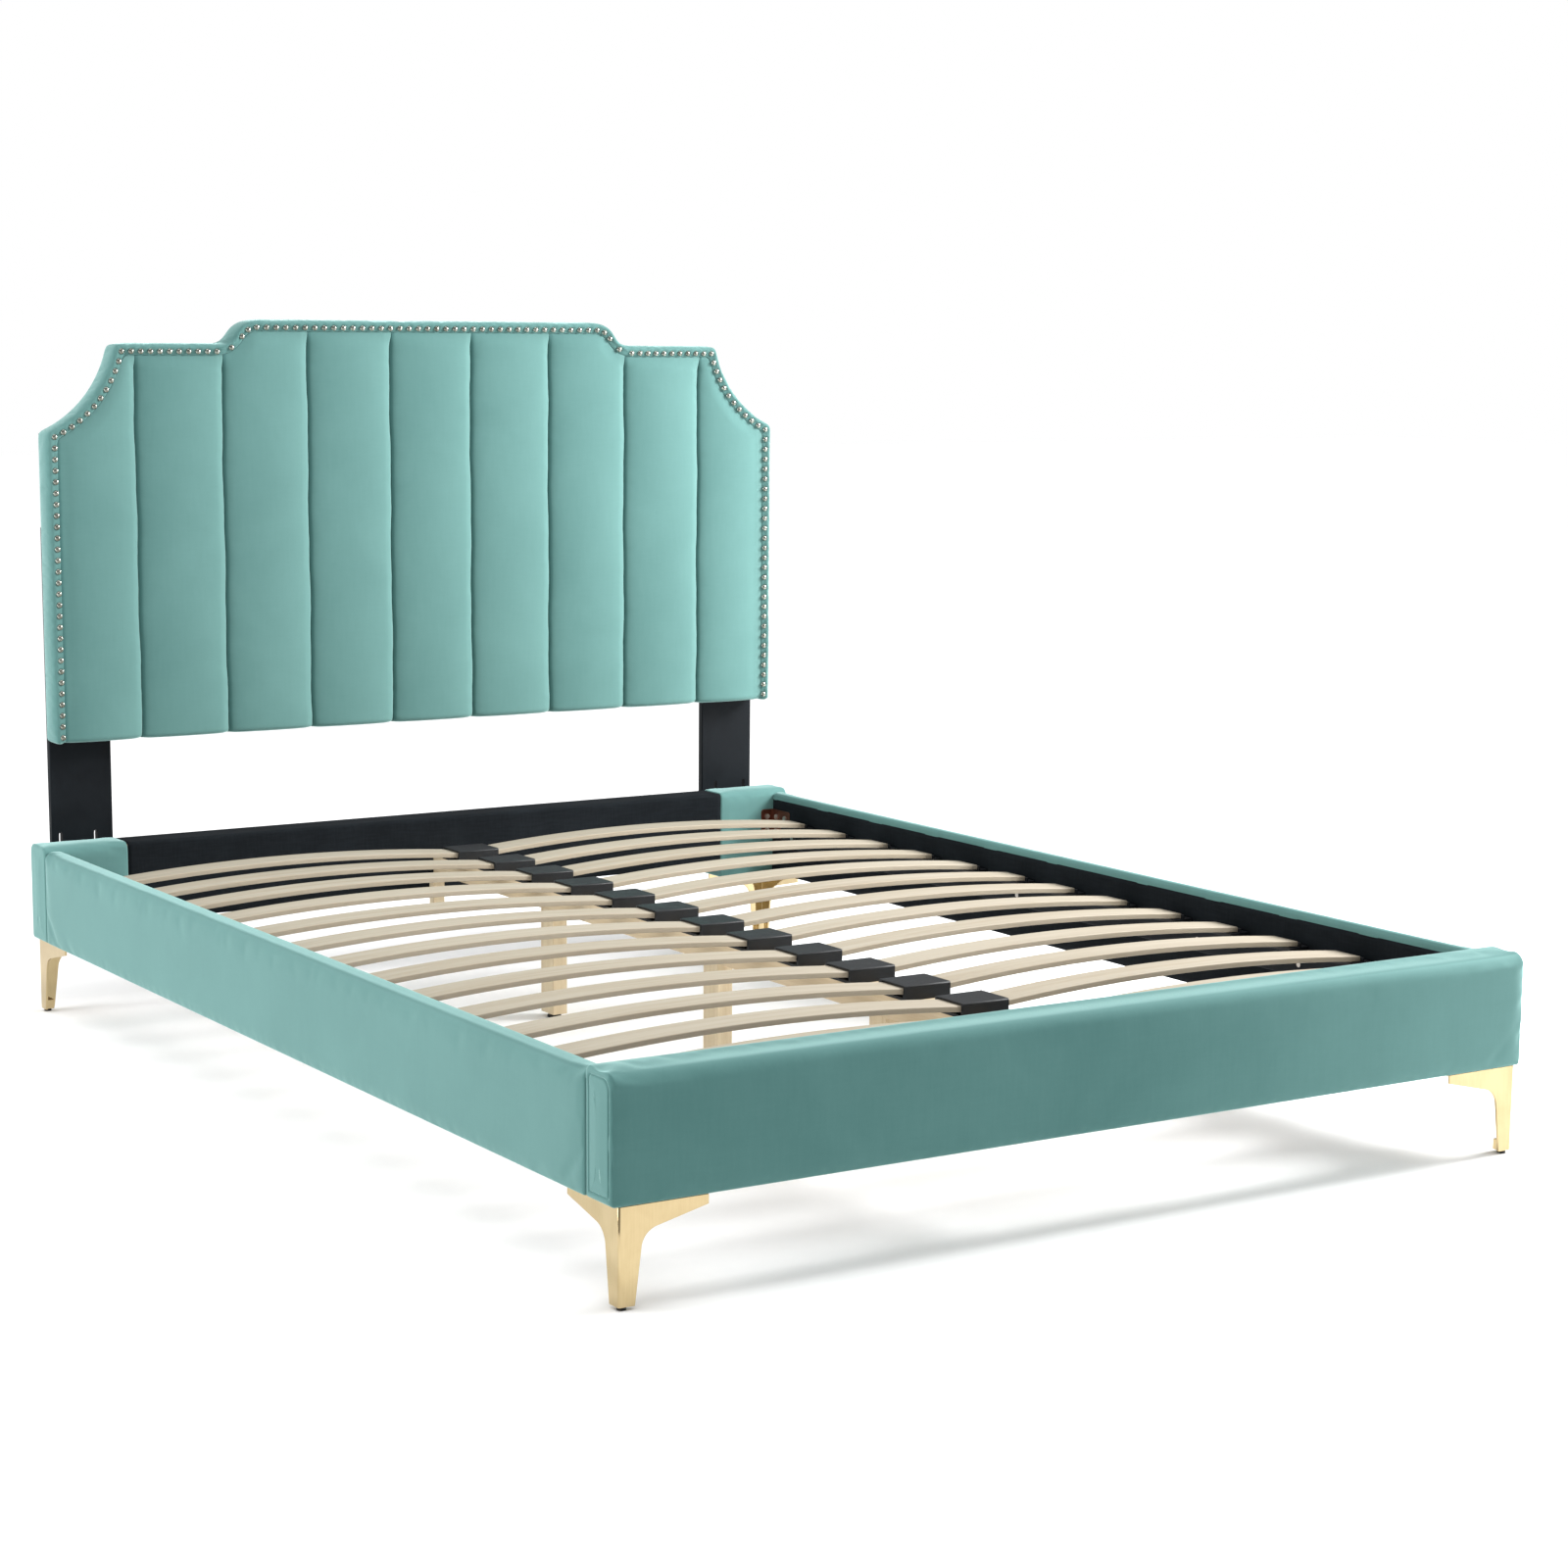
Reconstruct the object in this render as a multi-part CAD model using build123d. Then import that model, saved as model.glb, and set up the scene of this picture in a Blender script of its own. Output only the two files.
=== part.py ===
"""Upholstered queen bed with a channel-tufted, nail-trimmed headboard on slotted struts.

Units are millimetres. +X is to the right seen from the foot, +Y runs from foot to head and
+Z is up. The origin is on the floor, under the middle of the bed's overall box.
"""
import os
from math import acos, asin, atan, cos, sin, sqrt

from build123d import *

os.makedirs("parts", exist_ok=True)

# Driving dimensions: the bed takes a 1524 x 2032 mm mattress.
bed_width = 1626.0
well_width = 1556.0
well_length = 2030.0
rail_top = 318.0
rail_bottom = 140.0
foot_rail_depth = 73.0
head_rail_depth = 76.5
side_rail_drop = 6.5
rail_end_gap = 0.5

headboard_width = 1552.0
headboard_bottom = 506.0
headboard_thickness = 64.0
shoulder_top = 1233.0
crown_top = 1278.0
scallop_radius = 219.3
scallop_centre = (856.3, 1279.1)
step_outer_x = 445.0
step_inner_x = 365.0
channel_pitch = 173.0
channel_count = 9

strut_width = 120.0
strut_inner_x = 650.0
strut_thickness = 15.0
strut_bottom = 150.0
strut_top = 900.0
strut_gap = 0.5
slot_width = 7.0
slot_bottom = 193.0
slot_top = 333.0
slot_xs = (684.0, 752.5)
slot_bolt_z = 258.0
slot_bolt_diameter = 6.0
washer_thickness = 2.0
bolt_head_height = 4.5

slat_rows = 13
slat_pitch = 149.3
slat_width = 60.0
slat_thickness = 9.0
slat_end_top = 266.0
slat_crown = 19.0
slat_inner_x = 8.0
slat_outer_x = 757.0

# Where the bed starts, so that the overall box is centred on the origin.
rear_stack = strut_gap + strut_thickness + strut_gap + washer_thickness + bolt_head_height
overall_length = foot_rail_depth + well_length + head_rail_depth + rear_stack
foot_face = -overall_length / 2
foot_inner = foot_face + foot_rail_depth
head_inner = foot_inner + well_length
head_rear = head_inner + head_rail_depth
half_bed = bed_width / 2
half_well = well_width / 2
headboard_front = head_rear + strut_gap - headboard_thickness
headboard_rear = head_rear + strut_gap
strut_rear = headboard_rear + strut_thickness
SIDES = (("left", -1), ("right", 1))


def save(shape, node):
    """Write one sub-part to its own file."""
    export_step(shape, f"parts/{node}.step")


def block(x0, x1, y0, y1, z0, z1):
    """A box given by its two opposite corners."""
    low = (min(x0, x1), min(y0, y1), min(z0, z1))
    size = (abs(x1 - x0), abs(y1 - y0), abs(z1 - z0))
    return Location(low) * Box(*size, align=(Align.MIN, Align.MIN, Align.MIN))


def rod(centre, radius, length, direction):
    """A round bar that starts at centre and runs length along direction."""
    return Solid.make_cylinder(radius, length, Plane(centre, z_dir=direction))


def group(solids):
    """Several separate solids kept in one node."""
    return Compound(children=list(solids))


# ---------------------------------------------------------------- headboard outline

def outline_half(inset, bottom, y, side):
    """Edges of half the headboard's outline, moved in by inset, from the foot of its side
    to the middle of its top: side, hollow scallop, shoulder, S-shaped step, top."""
    side_x = headboard_width / 2 - inset
    centre_x, centre_z = scallop_centre
    radius = scallop_radius + inset
    tip_z = centre_z - sqrt(radius ** 2 - (centre_x - side_x) ** 2)
    shoulder_z = shoulder_top - inset
    shoulder_x = centre_x - sqrt(radius ** 2 - (centre_z - shoulder_z) ** 2)
    tip_angle = acos((centre_x - side_x) / radius)
    shoulder_angle = asin((centre_z - shoulder_z) / radius)
    middle = (tip_angle + shoulder_angle) / 2
    run = (step_outer_x - step_inner_x) / 2
    rise = (crown_top - shoulder_top) / 2
    turn = 2 * atan(rise / run)
    step_radius = run / sin(turn)
    hollow = step_radius + inset
    round_over = step_radius - inset

    def at(x, z):
        return Vector(side * x, y, z)

    def on_hollow(angle):
        return at(step_outer_x - hollow * sin(angle),
                  shoulder_top + step_radius - hollow * cos(angle))

    def on_round(angle):
        return at(step_inner_x + round_over * sin(angle),
                  crown_top - step_radius + round_over * cos(angle))

    tip = at(side_x, tip_z)
    scallop_middle = at(centre_x - radius * cos(middle), centre_z - radius * sin(middle))
    shoulder = at(shoulder_x, shoulder_z)
    top_middle = at(0, crown_top - inset)
    return [
        Edge.make_line(at(side_x, bottom), tip),
        Edge.make_three_point_arc(tip, scallop_middle, shoulder),
        Edge.make_line(shoulder, on_hollow(0)),
        Edge.make_three_point_arc(on_hollow(0), on_hollow(turn / 2), on_hollow(turn)),
        Edge.make_three_point_arc(on_hollow(turn), on_round(turn / 2), on_round(0)),
        Edge.make_line(on_round(0), top_middle),
    ]


def outline_slab(inset, bottom, y0, y1):
    """A board of the headboard's outline, moved in by inset, from y0 back to y1."""
    left = outline_half(inset, bottom, y0, -1)
    right = outline_half(inset, bottom, y0, 1)
    base = Edge.make_line(left[0] @ 0, right[0] @ 0)
    face = Face(Wire(left + right + [base]))
    return Solid.extrude(face, Vector(0, y1 - y0, 0))


# ---------------------------------------------------------------- headboard parts

skin = 6.0
pad_rim = 18.0
pad_back = headboard_front + 29.0
panel_thickness = 12.0
panel_back = pad_back + panel_thickness
cover_thickness = 1.0
frame_back = headboard_rear - cover_thickness
nail_seat = headboard_front + 4.0
window_half = 600.0
window_bottom = 582.0
window_top = 1160.0
upright_x = 230.0
upright_half_width = 30.0


def make_headboard_panel():
    """Plywood face board that carries the padding."""
    return outline_slab(skin, headboard_bottom + skin, pad_back, panel_back)


def make_headboard_frame():
    """Perimeter battens behind the face board, with uprights inside."""
    board = outline_slab(skin, headboard_bottom + skin, panel_back, frame_back)
    window = block(-window_half, window_half, panel_back, frame_back, window_bottom, window_top)
    pieces = [board - window]
    for x in (-upright_x, upright_x):
        pieces.append(block(x - upright_half_width, x + upright_half_width, panel_back, frame_back,
                            window_bottom, window_top))
    return group(piece.solid() for piece in pieces)


def make_channel(number):
    """One upright padded channel: flat at the back, crowned in front, lapping the lower edge."""
    crown_depth = 13.0
    seam_gap = 0.4
    x0 = (number - 1 - channel_count / 2) * channel_pitch + seam_gap / 2
    x1 = x0 + channel_pitch - seam_gap
    edge_x = headboard_width / 2 - pad_rim
    x0 = max(x0, -edge_x)
    x1 = min(x1, edge_x)
    front = headboard_front
    valley = front + crown_depth
    face = Face(Wire([
        Edge.make_line((x0, pad_back, headboard_bottom), (x0, valley, headboard_bottom)),
        Edge.make_three_point_arc((x0, valley, headboard_bottom),
                                  ((x0 + x1) / 2, front, headboard_bottom),
                                  (x1, valley, headboard_bottom)),
        Edge.make_line((x1, valley, headboard_bottom), (x1, pad_back, headboard_bottom)),
        Edge.make_line((x1, pad_back, headboard_bottom), (x0, pad_back, headboard_bottom)),
    ]))
    tall = Solid.extrude(face, Vector(0, 0, crown_top - headboard_bottom))
    field = outline_slab(pad_rim, headboard_bottom, headboard_front - 5, pad_back)
    lap = block(x0, x1, pad_back, frame_back, headboard_bottom, headboard_bottom + skin)
    return (tall & field) + lap


def make_headboard_border():
    """Padded rim outside the nail line, wrapped round the sides and top to the back."""
    rim = outline_slab(0, headboard_bottom, nail_seat, frame_back)
    pad_space = outline_slab(pad_rim, headboard_bottom, nail_seat, pad_back)
    board_space = outline_slab(skin, headboard_bottom, pad_back, frame_back)
    return rim - pad_space - board_space


def make_nailheads():
    """Domed nailheads, evenly spaced along each stretch of a line just inside the rim."""
    nail_radius = 5.7
    nail_height = 3.6
    inset = 12.0
    first_nail = headboard_bottom + 12
    spacings = (27, 11, 10, 2, 2)
    top_spacings = 37
    sphere_radius = (nail_radius ** 2 + nail_height ** 2) / (2 * nail_height)
    lean = asin(nail_radius / sphere_radius) / 2
    shoulder = (sphere_radius * sin(lean), -nail_height + sphere_radius * (1 - cos(lean)), 0)
    half_section = Face(Wire([
        Edge.make_line((0, 0, 0), (nail_radius, 0, 0)),
        Edge.make_three_point_arc((nail_radius, 0, 0), shoulder, (0, -nail_height, 0)),
        Edge.make_line((0, -nail_height, 0), (0, 0, 0)),
    ]))
    dome = Solid.revolve(half_section, 360, Axis.Y)
    places = []
    for side in (-1, 1):
        edges = outline_half(inset, first_nail, nail_seat, side)
        for edge, count in zip(edges, spacings):
            places += [edge @ (step / count) for step in range(count)]
        half_top = edges[-1]
        pitch = 2 * half_top.length / top_spacings
        places += [half_top.position_at(step * pitch, position_mode=PositionMode.LENGTH)
                   for step in range((top_spacings + 1) // 2)]
    return group(dome.moved(Location(place)) for place in places)


def make_headboard_strut(side):
    """Board bolted behind the headboard, with two height slots near its lower end."""
    board = block(side * strut_inner_x, side * (strut_inner_x + strut_width),
                  headboard_rear, strut_rear, strut_bottom, strut_top)
    for x in slot_xs:
        middle_z = (slot_bottom + slot_top) / 2
        straight = slot_top - slot_bottom - slot_width
        board -= block(side * x - slot_width / 2, side * x + slot_width / 2,
                       headboard_rear, strut_rear, middle_z - straight / 2, middle_z + straight / 2)
        for z in (middle_z - straight / 2, middle_z + straight / 2):
            board -= rod((side * x, headboard_rear, z), slot_width / 2, strut_thickness, (0, 1, 0))
    middle_x = strut_inner_x + strut_width / 2
    edge_radius = 2.5
    return rounded(board, Axis.Z, edge_radius,
                   lambda c: abs(abs(c.X) - middle_x) > strut_width / 2 - 1)


def make_strut_bolts():
    """Pan-head bolts that hold the struts to the headboard's frame."""
    shank_radius = 4.0
    head_radius = 9.0
    head_height = 4.0
    grip = 14.0
    edge_distance = 30.0
    heights = (headboard_bottom + 45, headboard_bottom + 330)
    pieces = []
    for side in (-1, 1):
        for x in (strut_inner_x + edge_distance, strut_inner_x + strut_width - edge_distance):
            for z in heights:
                shank = rod((side * x, frame_back - grip, z), shank_radius,
                            strut_rear - frame_back + grip, (0, 1, 0))
                head = rod((side * x, strut_rear, z), head_radius, head_height, (0, 1, 0))
                pieces.append(shank.fuse(head))
    return group(pieces)


# ---------------------------------------------------------------- rails

board_wall = 15.0


def rounded(solid, axis, radius, keep):
    """Round the edges along axis whose centre passes the keep test."""
    edges = [edge for edge in solid.edges().filter_by(axis) if keep(edge.center())]
    return fillet(edges, radius)


core_clearance = 2.0
core_edge_radius = 5.0
inner_edge_radius = 9.0
foot_cover = 6.5
foot_core_top = rail_top - foot_cover
wrap_bottom = rail_top - 15.0
lining_thickness = 1.5


def foot_rail_space():
    """The room that the foot rail's timber takes up, with its top front edge eased."""
    space = block(-half_bed + foot_cover, half_bed - foot_cover, foot_face + foot_cover,
                  foot_inner - lining_thickness, rail_bottom + core_clearance, foot_core_top)
    return rounded(space, Axis.X, core_edge_radius,
                   lambda c: c.Z > foot_core_top - 1 and c.Y < foot_face + foot_cover + 1)


def make_foot_rail_core():
    """Box beam inside the foot rail, open at its ends."""
    return foot_rail_space() - block(-half_bed, half_bed, foot_face + foot_cover + board_wall,
                                     foot_inner - lining_thickness - board_wall,
                                     rail_bottom + core_clearance + board_wall,
                                     foot_core_top - board_wall)


def make_foot_rail_upholstery():
    """Padded cover over the front, top, ends and underside of the foot rail."""
    front_radius = 20.0
    end_radius = 6.0
    cover = block(-half_bed, half_bed, foot_face, foot_inner, rail_bottom, rail_top)
    cover = rounded(cover, Axis.X, front_radius,
                    lambda c: c.Z > rail_top - 1 and c.Y < foot_face + 1)
    cover = rounded(cover, Axis.X, inner_edge_radius,
                    lambda c: c.Z > rail_top - 1 and c.Y > foot_inner - 1)
    ends = [edge for edge in cover.edges()
            if abs(edge.center().X) > half_bed - 0.1 and edge.center().Y < foot_inner - 1
            and edge.center().Z > rail_bottom + 1]
    cover = fillet(ends, end_radius)
    cover -= foot_rail_space()
    return cover - block(-half_well, half_well, foot_inner - lining_thickness, foot_inner,
                         rail_bottom, wrap_bottom)


def make_foot_rail_lining():
    """Non-woven lining on the foot rail's inner face."""
    return block(-half_well, half_well, foot_inner - lining_thickness, foot_inner,
                 rail_bottom, wrap_bottom)


side_rail_bottom = rail_bottom
side_rail_top = rail_top - side_rail_drop
side_wrap_bottom = side_rail_top - 15.0
side_cover = 5.0
side_y0 = foot_inner + rail_end_gap
side_y1 = head_inner - rail_end_gap


def make_side_rail_core(side):
    """Solid board inside a side rail, with its top outer edge eased."""
    core = block(side * (half_well + lining_thickness), side * (half_bed - side_cover),
                 side_y0, side_y1, side_rail_bottom + core_clearance, side_rail_top - side_cover)
    return rounded(core, Axis.Y, core_edge_radius,
                   lambda c: c.Z > side_rail_top - side_cover - 1
                   and abs(c.X) > half_bed - side_cover - 1)


def make_side_rail_upholstery(side):
    """Padded cover over the outside, top and underside of a side rail, lapping inside."""
    outer_edge_radius = 16.0
    cover = block(side * half_well, side * half_bed, side_y0, side_y1, side_rail_bottom, side_rail_top)
    cover = rounded(cover, Axis.Y, outer_edge_radius,
                    lambda c: c.Z > side_rail_top - 1 and abs(c.X) > half_bed - 1)
    cover = rounded(cover, Axis.Y, inner_edge_radius,
                    lambda c: c.Z > side_rail_top - 1 and abs(c.X) < half_well + 1)
    cover -= make_side_rail_core(side)
    return cover - block(side * half_well, side * (half_well + lining_thickness),
                         side_y0, side_y1, side_rail_bottom, side_wrap_bottom)


def make_side_rail_lining(side):
    """Non-woven lining on a side rail's inner face."""
    return block(side * half_well, side * (half_well + lining_thickness),
                 side_y0, side_y1, side_rail_bottom, side_wrap_bottom)


sleeve_wall = 4.0
sleeve_inner_x = 650.0
middle_bottom = 166.0
middle_cover = 2.0


def head_rail_space():
    """The room that the head rail's timber takes up: deep at its ends, shallower between."""
    x_end = half_bed - sleeve_wall
    y0 = head_inner + sleeve_wall
    y1 = head_rear - sleeve_wall
    top = rail_top - sleeve_wall
    beam = block(-x_end, x_end, y0, y1, middle_bottom + middle_cover, top)
    for side in (-1, 1):
        beam += block(side * sleeve_inner_x, side * x_end, y0, y1,
                      rail_bottom + core_clearance, top)
    return beam


def make_head_rail_core():
    """Timber beam of the head rail, hollow between its solid ends."""
    inner = block(-sleeve_inner_x, sleeve_inner_x, head_inner + sleeve_wall + board_wall,
                  head_rear - sleeve_wall - board_wall, middle_bottom + middle_cover + board_wall,
                  rail_top - sleeve_wall - board_wall)
    return head_rail_space() - inner


def make_head_rail_sleeve(side):
    """Padded fabric sleeve that closes one end of the head rail."""
    top_radius = 13.0
    bottom_radius = 6.0
    sleeve = block(side * sleeve_inner_x, side * half_bed, head_inner, head_rear,
                   rail_bottom, rail_top)
    sleeve = rounded(sleeve, Axis.X, top_radius, lambda c: c.Z > rail_top - 1)
    sleeve = rounded(sleeve, Axis.X, bottom_radius, lambda c: c.Z < rail_bottom + 1)
    return sleeve - head_rail_space()


def make_head_rail_cover():
    """Thin black cover round the head rail between the two sleeves."""
    inset = sleeve_wall - middle_cover
    cover = block(-sleeve_inner_x, sleeve_inner_x, head_inner + inset, head_rear - inset,
                  middle_bottom, rail_top - inset)
    return cover - head_rail_space()


# ---------------------------------------------------------------- slats and their supports

screw_radius = 2.2
screw_head_radius = 4.5
screw_grip = 18.0
ledger_depth = 26.0
ledger_bottom = 208.0
ledger_top = 250.0
bracket_side_arm = 68.0
bracket_clearance = 6.0
ledger_y0 = foot_inner + bracket_side_arm + bracket_clearance
ledger_y1 = head_inner - bracket_side_arm - bracket_clearance
head_slat_y = head_inner - 127.0
slat_ys = [head_slat_y - row * slat_pitch for row in range(slat_rows)]
slat_middle_x = (slat_inner_x + slat_outer_x) / 2
slat_half = (slat_outer_x - slat_inner_x) / 2
slat_radius = (slat_half ** 2 + slat_crown ** 2) / (2 * slat_crown)


def make_ledger(side):
    """Batten on the side rail's inner face that carries the slats' outer ends."""
    batten = block(side * (half_well - ledger_depth), side * half_well,
                   ledger_y0, ledger_y1, ledger_bottom, ledger_top)
    edge_radius = 2.0
    return rounded(batten, Axis.Y, edge_radius, lambda c: abs(c.X) < half_well - 1)


def make_ledger_screws():
    """Flat-head screws through both ledgers into the side rails."""
    screws_per_ledger = 8
    end_distance = 40.0
    head_height = 0.8
    middle_z = (ledger_bottom + ledger_top) / 2
    pitch = (ledger_y1 - ledger_y0 - 2 * end_distance) / (screws_per_ledger - 1)
    pieces = []
    for side in (-1, 1):
        for step in range(screws_per_ledger):
            y = ledger_y0 + end_distance + step * pitch
            start = (side * (half_well - ledger_depth - head_height), y, middle_z)
            head = rod(start, screw_head_radius, head_height, (side, 0, 0))
            shank = rod(start, screw_radius, ledger_depth + screw_grip, (side, 0, 0))
            pieces.append(head.fuse(shank))
    return group(pieces)


def make_slat(side, y):
    """A bowed strip of laminated wood, crowned in the middle of its span."""
    top_z = slat_end_top + slat_crown

    def at(x, drop):
        return Vector(side * x, y - slat_width / 2, top_z - drop)

    low = slat_thickness
    face = Face(Wire([
        Edge.make_three_point_arc(at(slat_inner_x, slat_crown), at(slat_middle_x, 0),
                                  at(slat_outer_x, slat_crown)),
        Edge.make_line(at(slat_outer_x, slat_crown), at(slat_outer_x, slat_crown + low)),
        Edge.make_three_point_arc(at(slat_outer_x, slat_crown + low), at(slat_middle_x, low),
                                  at(slat_inner_x, slat_crown + low)),
        Edge.make_line(at(slat_inner_x, slat_crown + low), at(slat_inner_x, slat_crown)),
    ]))
    return Solid.extrude(face, Vector(0, slat_width, 0))


cap_half_width = 42.5
cap_half_length = 36.0
cap_top = 273.5
cap_wall = 2.3
cap_floor = 4.5
cap_rib_half = 4.0
slat_play = 0.3


def make_centre_cap(y):
    """Double-ended pocket on the centre beam that holds two slats' inner ends."""
    cap = block(-cap_half_width, cap_half_width, y - cap_half_length, y + cap_half_length,
                ledger_top, cap_top)
    edge_radius = 3.0
    cap = rounded(cap, Axis.X, edge_radius, lambda c: c.Z > cap_top - 1)
    pocket_half = slat_width / 2 + slat_play
    for side in (-1, 1):
        cap -= block(side * cap_rib_half, side * (cap_half_width + 1), y - pocket_half, y + pocket_half,
                     ledger_top + cap_floor, cap_top - cap_wall)
    return cap.solid()


def make_end_holder(side, y):
    """Small seat on the ledger under a slat's outer end, with a stop behind it."""
    half_length = slat_width / 2 + 3
    seat_length = 39.5
    seat_gap = 0.2
    stop_gap = 1.0
    stop_thickness = 4.0
    seat_outer_x = half_well - 0.5
    stop_x = slat_outer_x + stop_gap
    seat = block(side * (seat_outer_x - seat_length), side * seat_outer_x, y - half_length,
                 y + half_length, ledger_top, slat_end_top - slat_thickness - seat_gap)
    stop = block(side * stop_x, side * (stop_x + stop_thickness), y - half_length,
                 y + half_length, ledger_top, slat_end_top - 2)
    return (seat + stop).solid()


beam_half = 17.5
beam_bottom = 205.0


def make_centre_beam():
    """Timber beam along the middle that carries the slats' inner ends."""
    beam = block(-beam_half, beam_half, foot_inner + 1, head_inner - 1, beam_bottom, ledger_top)
    edge_radius = 2.0
    return rounded(beam, Axis.Y, edge_radius, lambda c: True)


def make_beam_cleats():
    """Blocks on the foot and head rails that the centre beam's ends rest on."""
    width = 24.0
    depth = 20.0
    height = 60.0
    middle_x = -15.0
    edge_radius = 1.5
    x0 = middle_x - width / 2
    x1 = middle_x + width / 2
    foot = block(x0, x1, foot_inner, foot_inner + depth, beam_bottom - height, beam_bottom)
    head = block(x0, x1, head_inner - depth, head_inner, beam_bottom - height, beam_bottom)
    return group(rounded(piece, Axis.Z, edge_radius, lambda c: True).solid()
                 for piece in (foot, head))


centre_leg_ys = [foot_face + offset for offset in (560.0, 1060.0, 1640.0)]
centre_leg_bottom = 9.0
centre_leg_width = 30.0
centre_leg_depth = 47.0
stud_radius = 4.0
stud_hole_radius = 4.4
stud_length = 25.0
glide_plate = 5.0


def make_centre_leg(y):
    """Square-edged timber leg under the centre beam, bored for its levelling glide."""
    half_width = centre_leg_width / 2
    edge_radius = 1.5
    spare_depth = 8.0
    leg = block(-half_width, half_width, y - centre_leg_depth / 2, y + centre_leg_depth / 2,
                centre_leg_bottom, beam_bottom)
    leg -= rod((0, y, centre_leg_bottom), stud_hole_radius, stud_length + spare_depth, (0, 0, 1))
    return rounded(leg, Axis.Z, edge_radius, lambda c: abs(c.X) > half_width - 1)


def make_centre_leg_bolts():
    """Hanger bolts between each centre leg and the beam above it."""
    radius = 4.0
    into_leg = 40.0
    into_beam = 30.0
    return group(rod((0, y, beam_bottom - into_leg), radius, into_leg + into_beam, (0, 0, 1))
                 for y in centre_leg_ys)


def make_levelling_glide(y):
    """Round foot plate on a threaded stud that screws into the leg."""
    plate_radius = 13.0
    edge_radius = 1.2
    plate = rod((0, y, 0), plate_radius, glide_plate, (0, 0, 1))
    plate = fillet(plate.edges().filter_by(GeomType.CIRCLE), edge_radius)
    stud = rod((0, y, glide_plate), stud_radius, stud_length, (0, 0, 1))
    return plate.fuse(stud)


# ---------------------------------------------------------------- corners

bracket_thickness = 2.5
bracket_low = 217.0
bracket_high = 277.0
bracket_end_arm = 30.0
bracket_corner_radius = 6.0
bolt_radius = 3.0
bolt_head_radius = 5.5
bolt_dome = 3.0
bolt_grip = 18.0
CORNERS = (("foot_left", -1, foot_inner, 1), ("foot_right", 1, foot_inner, 1),
           ("head_left", -1, head_inner, -1), ("head_right", 1, head_inner, -1))


def make_corner_bracket(side, face_y, inward):
    """Angle plate inside a corner, one arm on the end rail and one on the side rail."""
    end_arm = block(side * (half_well - bracket_end_arm), side * half_well, face_y,
                    face_y + inward * bracket_thickness, bracket_low, bracket_high)
    end_arm = rounded(end_arm, Axis.Y, bracket_corner_radius,
                      lambda c: abs(c.X) < half_well - 1)
    side_arm = block(side * (half_well - bracket_thickness), side * half_well, face_y,
                     face_y + inward * bracket_side_arm, bracket_low, bracket_high)
    side_arm = rounded(side_arm, Axis.X, bracket_corner_radius,
                       lambda c: abs(c.Y - face_y) > bracket_thickness + 1)
    return end_arm + side_arm


def make_corner_bolts():
    """Round-headed bolts through the corner brackets into the rails."""
    heights = (bracket_low + 15, bracket_high - 15)
    end_arm_x = half_well - 16.0
    side_arm_reaches = (20.0, 52.0)
    grip = bracket_thickness + bolt_grip
    pieces = []
    for _, side, face_y, inward in CORNERS:
        for z in heights:
            seat_y = face_y + inward * bracket_thickness
            head = rod((side * end_arm_x, seat_y, z), bolt_head_radius, bolt_dome,
                       (0, inward, 0))
            shank = rod((side * end_arm_x, seat_y, z), bolt_radius, grip, (0, -inward, 0))
            pieces.append(head.fuse(shank))
            for reach in side_arm_reaches:
                start = (side * (half_well - bracket_thickness), face_y + inward * reach, z)
                head = rod(start, bolt_head_radius, bolt_dome, (-side, 0, 0))
                shank = rod(start, bolt_radius, grip, (side, 0, 0))
                pieces.append(head.fuse(shank))
    return group(pieces)


leg_inset_x = 11.0
leg_inset_y = 3.0
leg_foot_z = 5.0
wing_length = 137.0
wing_end_height = 11.0
wing_thickness = 4.0
post_width = 25.0
post_flare = 12.5
crook_z = 103.2
crook_radius = 30.0
plate_thickness = 2.5
plate_margin = 24.0
foot_block = 19.0
foot_block_top = 22.0
screw_head_height = 2.2
LEG_CORNERS = (("foot_left", -1, foot_face + leg_inset_y, 1),
               ("foot_right", 1, foot_face + leg_inset_y, 1),
               ("head_left", -1, head_rear - leg_inset_y, -1),
               ("head_right", 1, head_rear - leg_inset_y, -1))


def wing_face(across):
    """Outline of one wing: a slim post that curves out into a long tapering arm."""
    top = rail_bottom - plate_thickness
    crook = across(post_width + post_flare, crook_z)
    points = [across(0, leg_foot_z), across(post_width, leg_foot_z), crook,
              across(wing_length, top - wing_end_height), across(wing_length, top),
              across(0, top)]
    wire = Wire.make_polygon(points, close=True)
    corner = min(wire.vertices(), key=lambda v: (Vector(v) - crook).length)
    return Face(wire.fillet_2d(crook_radius, [corner]))


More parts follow.
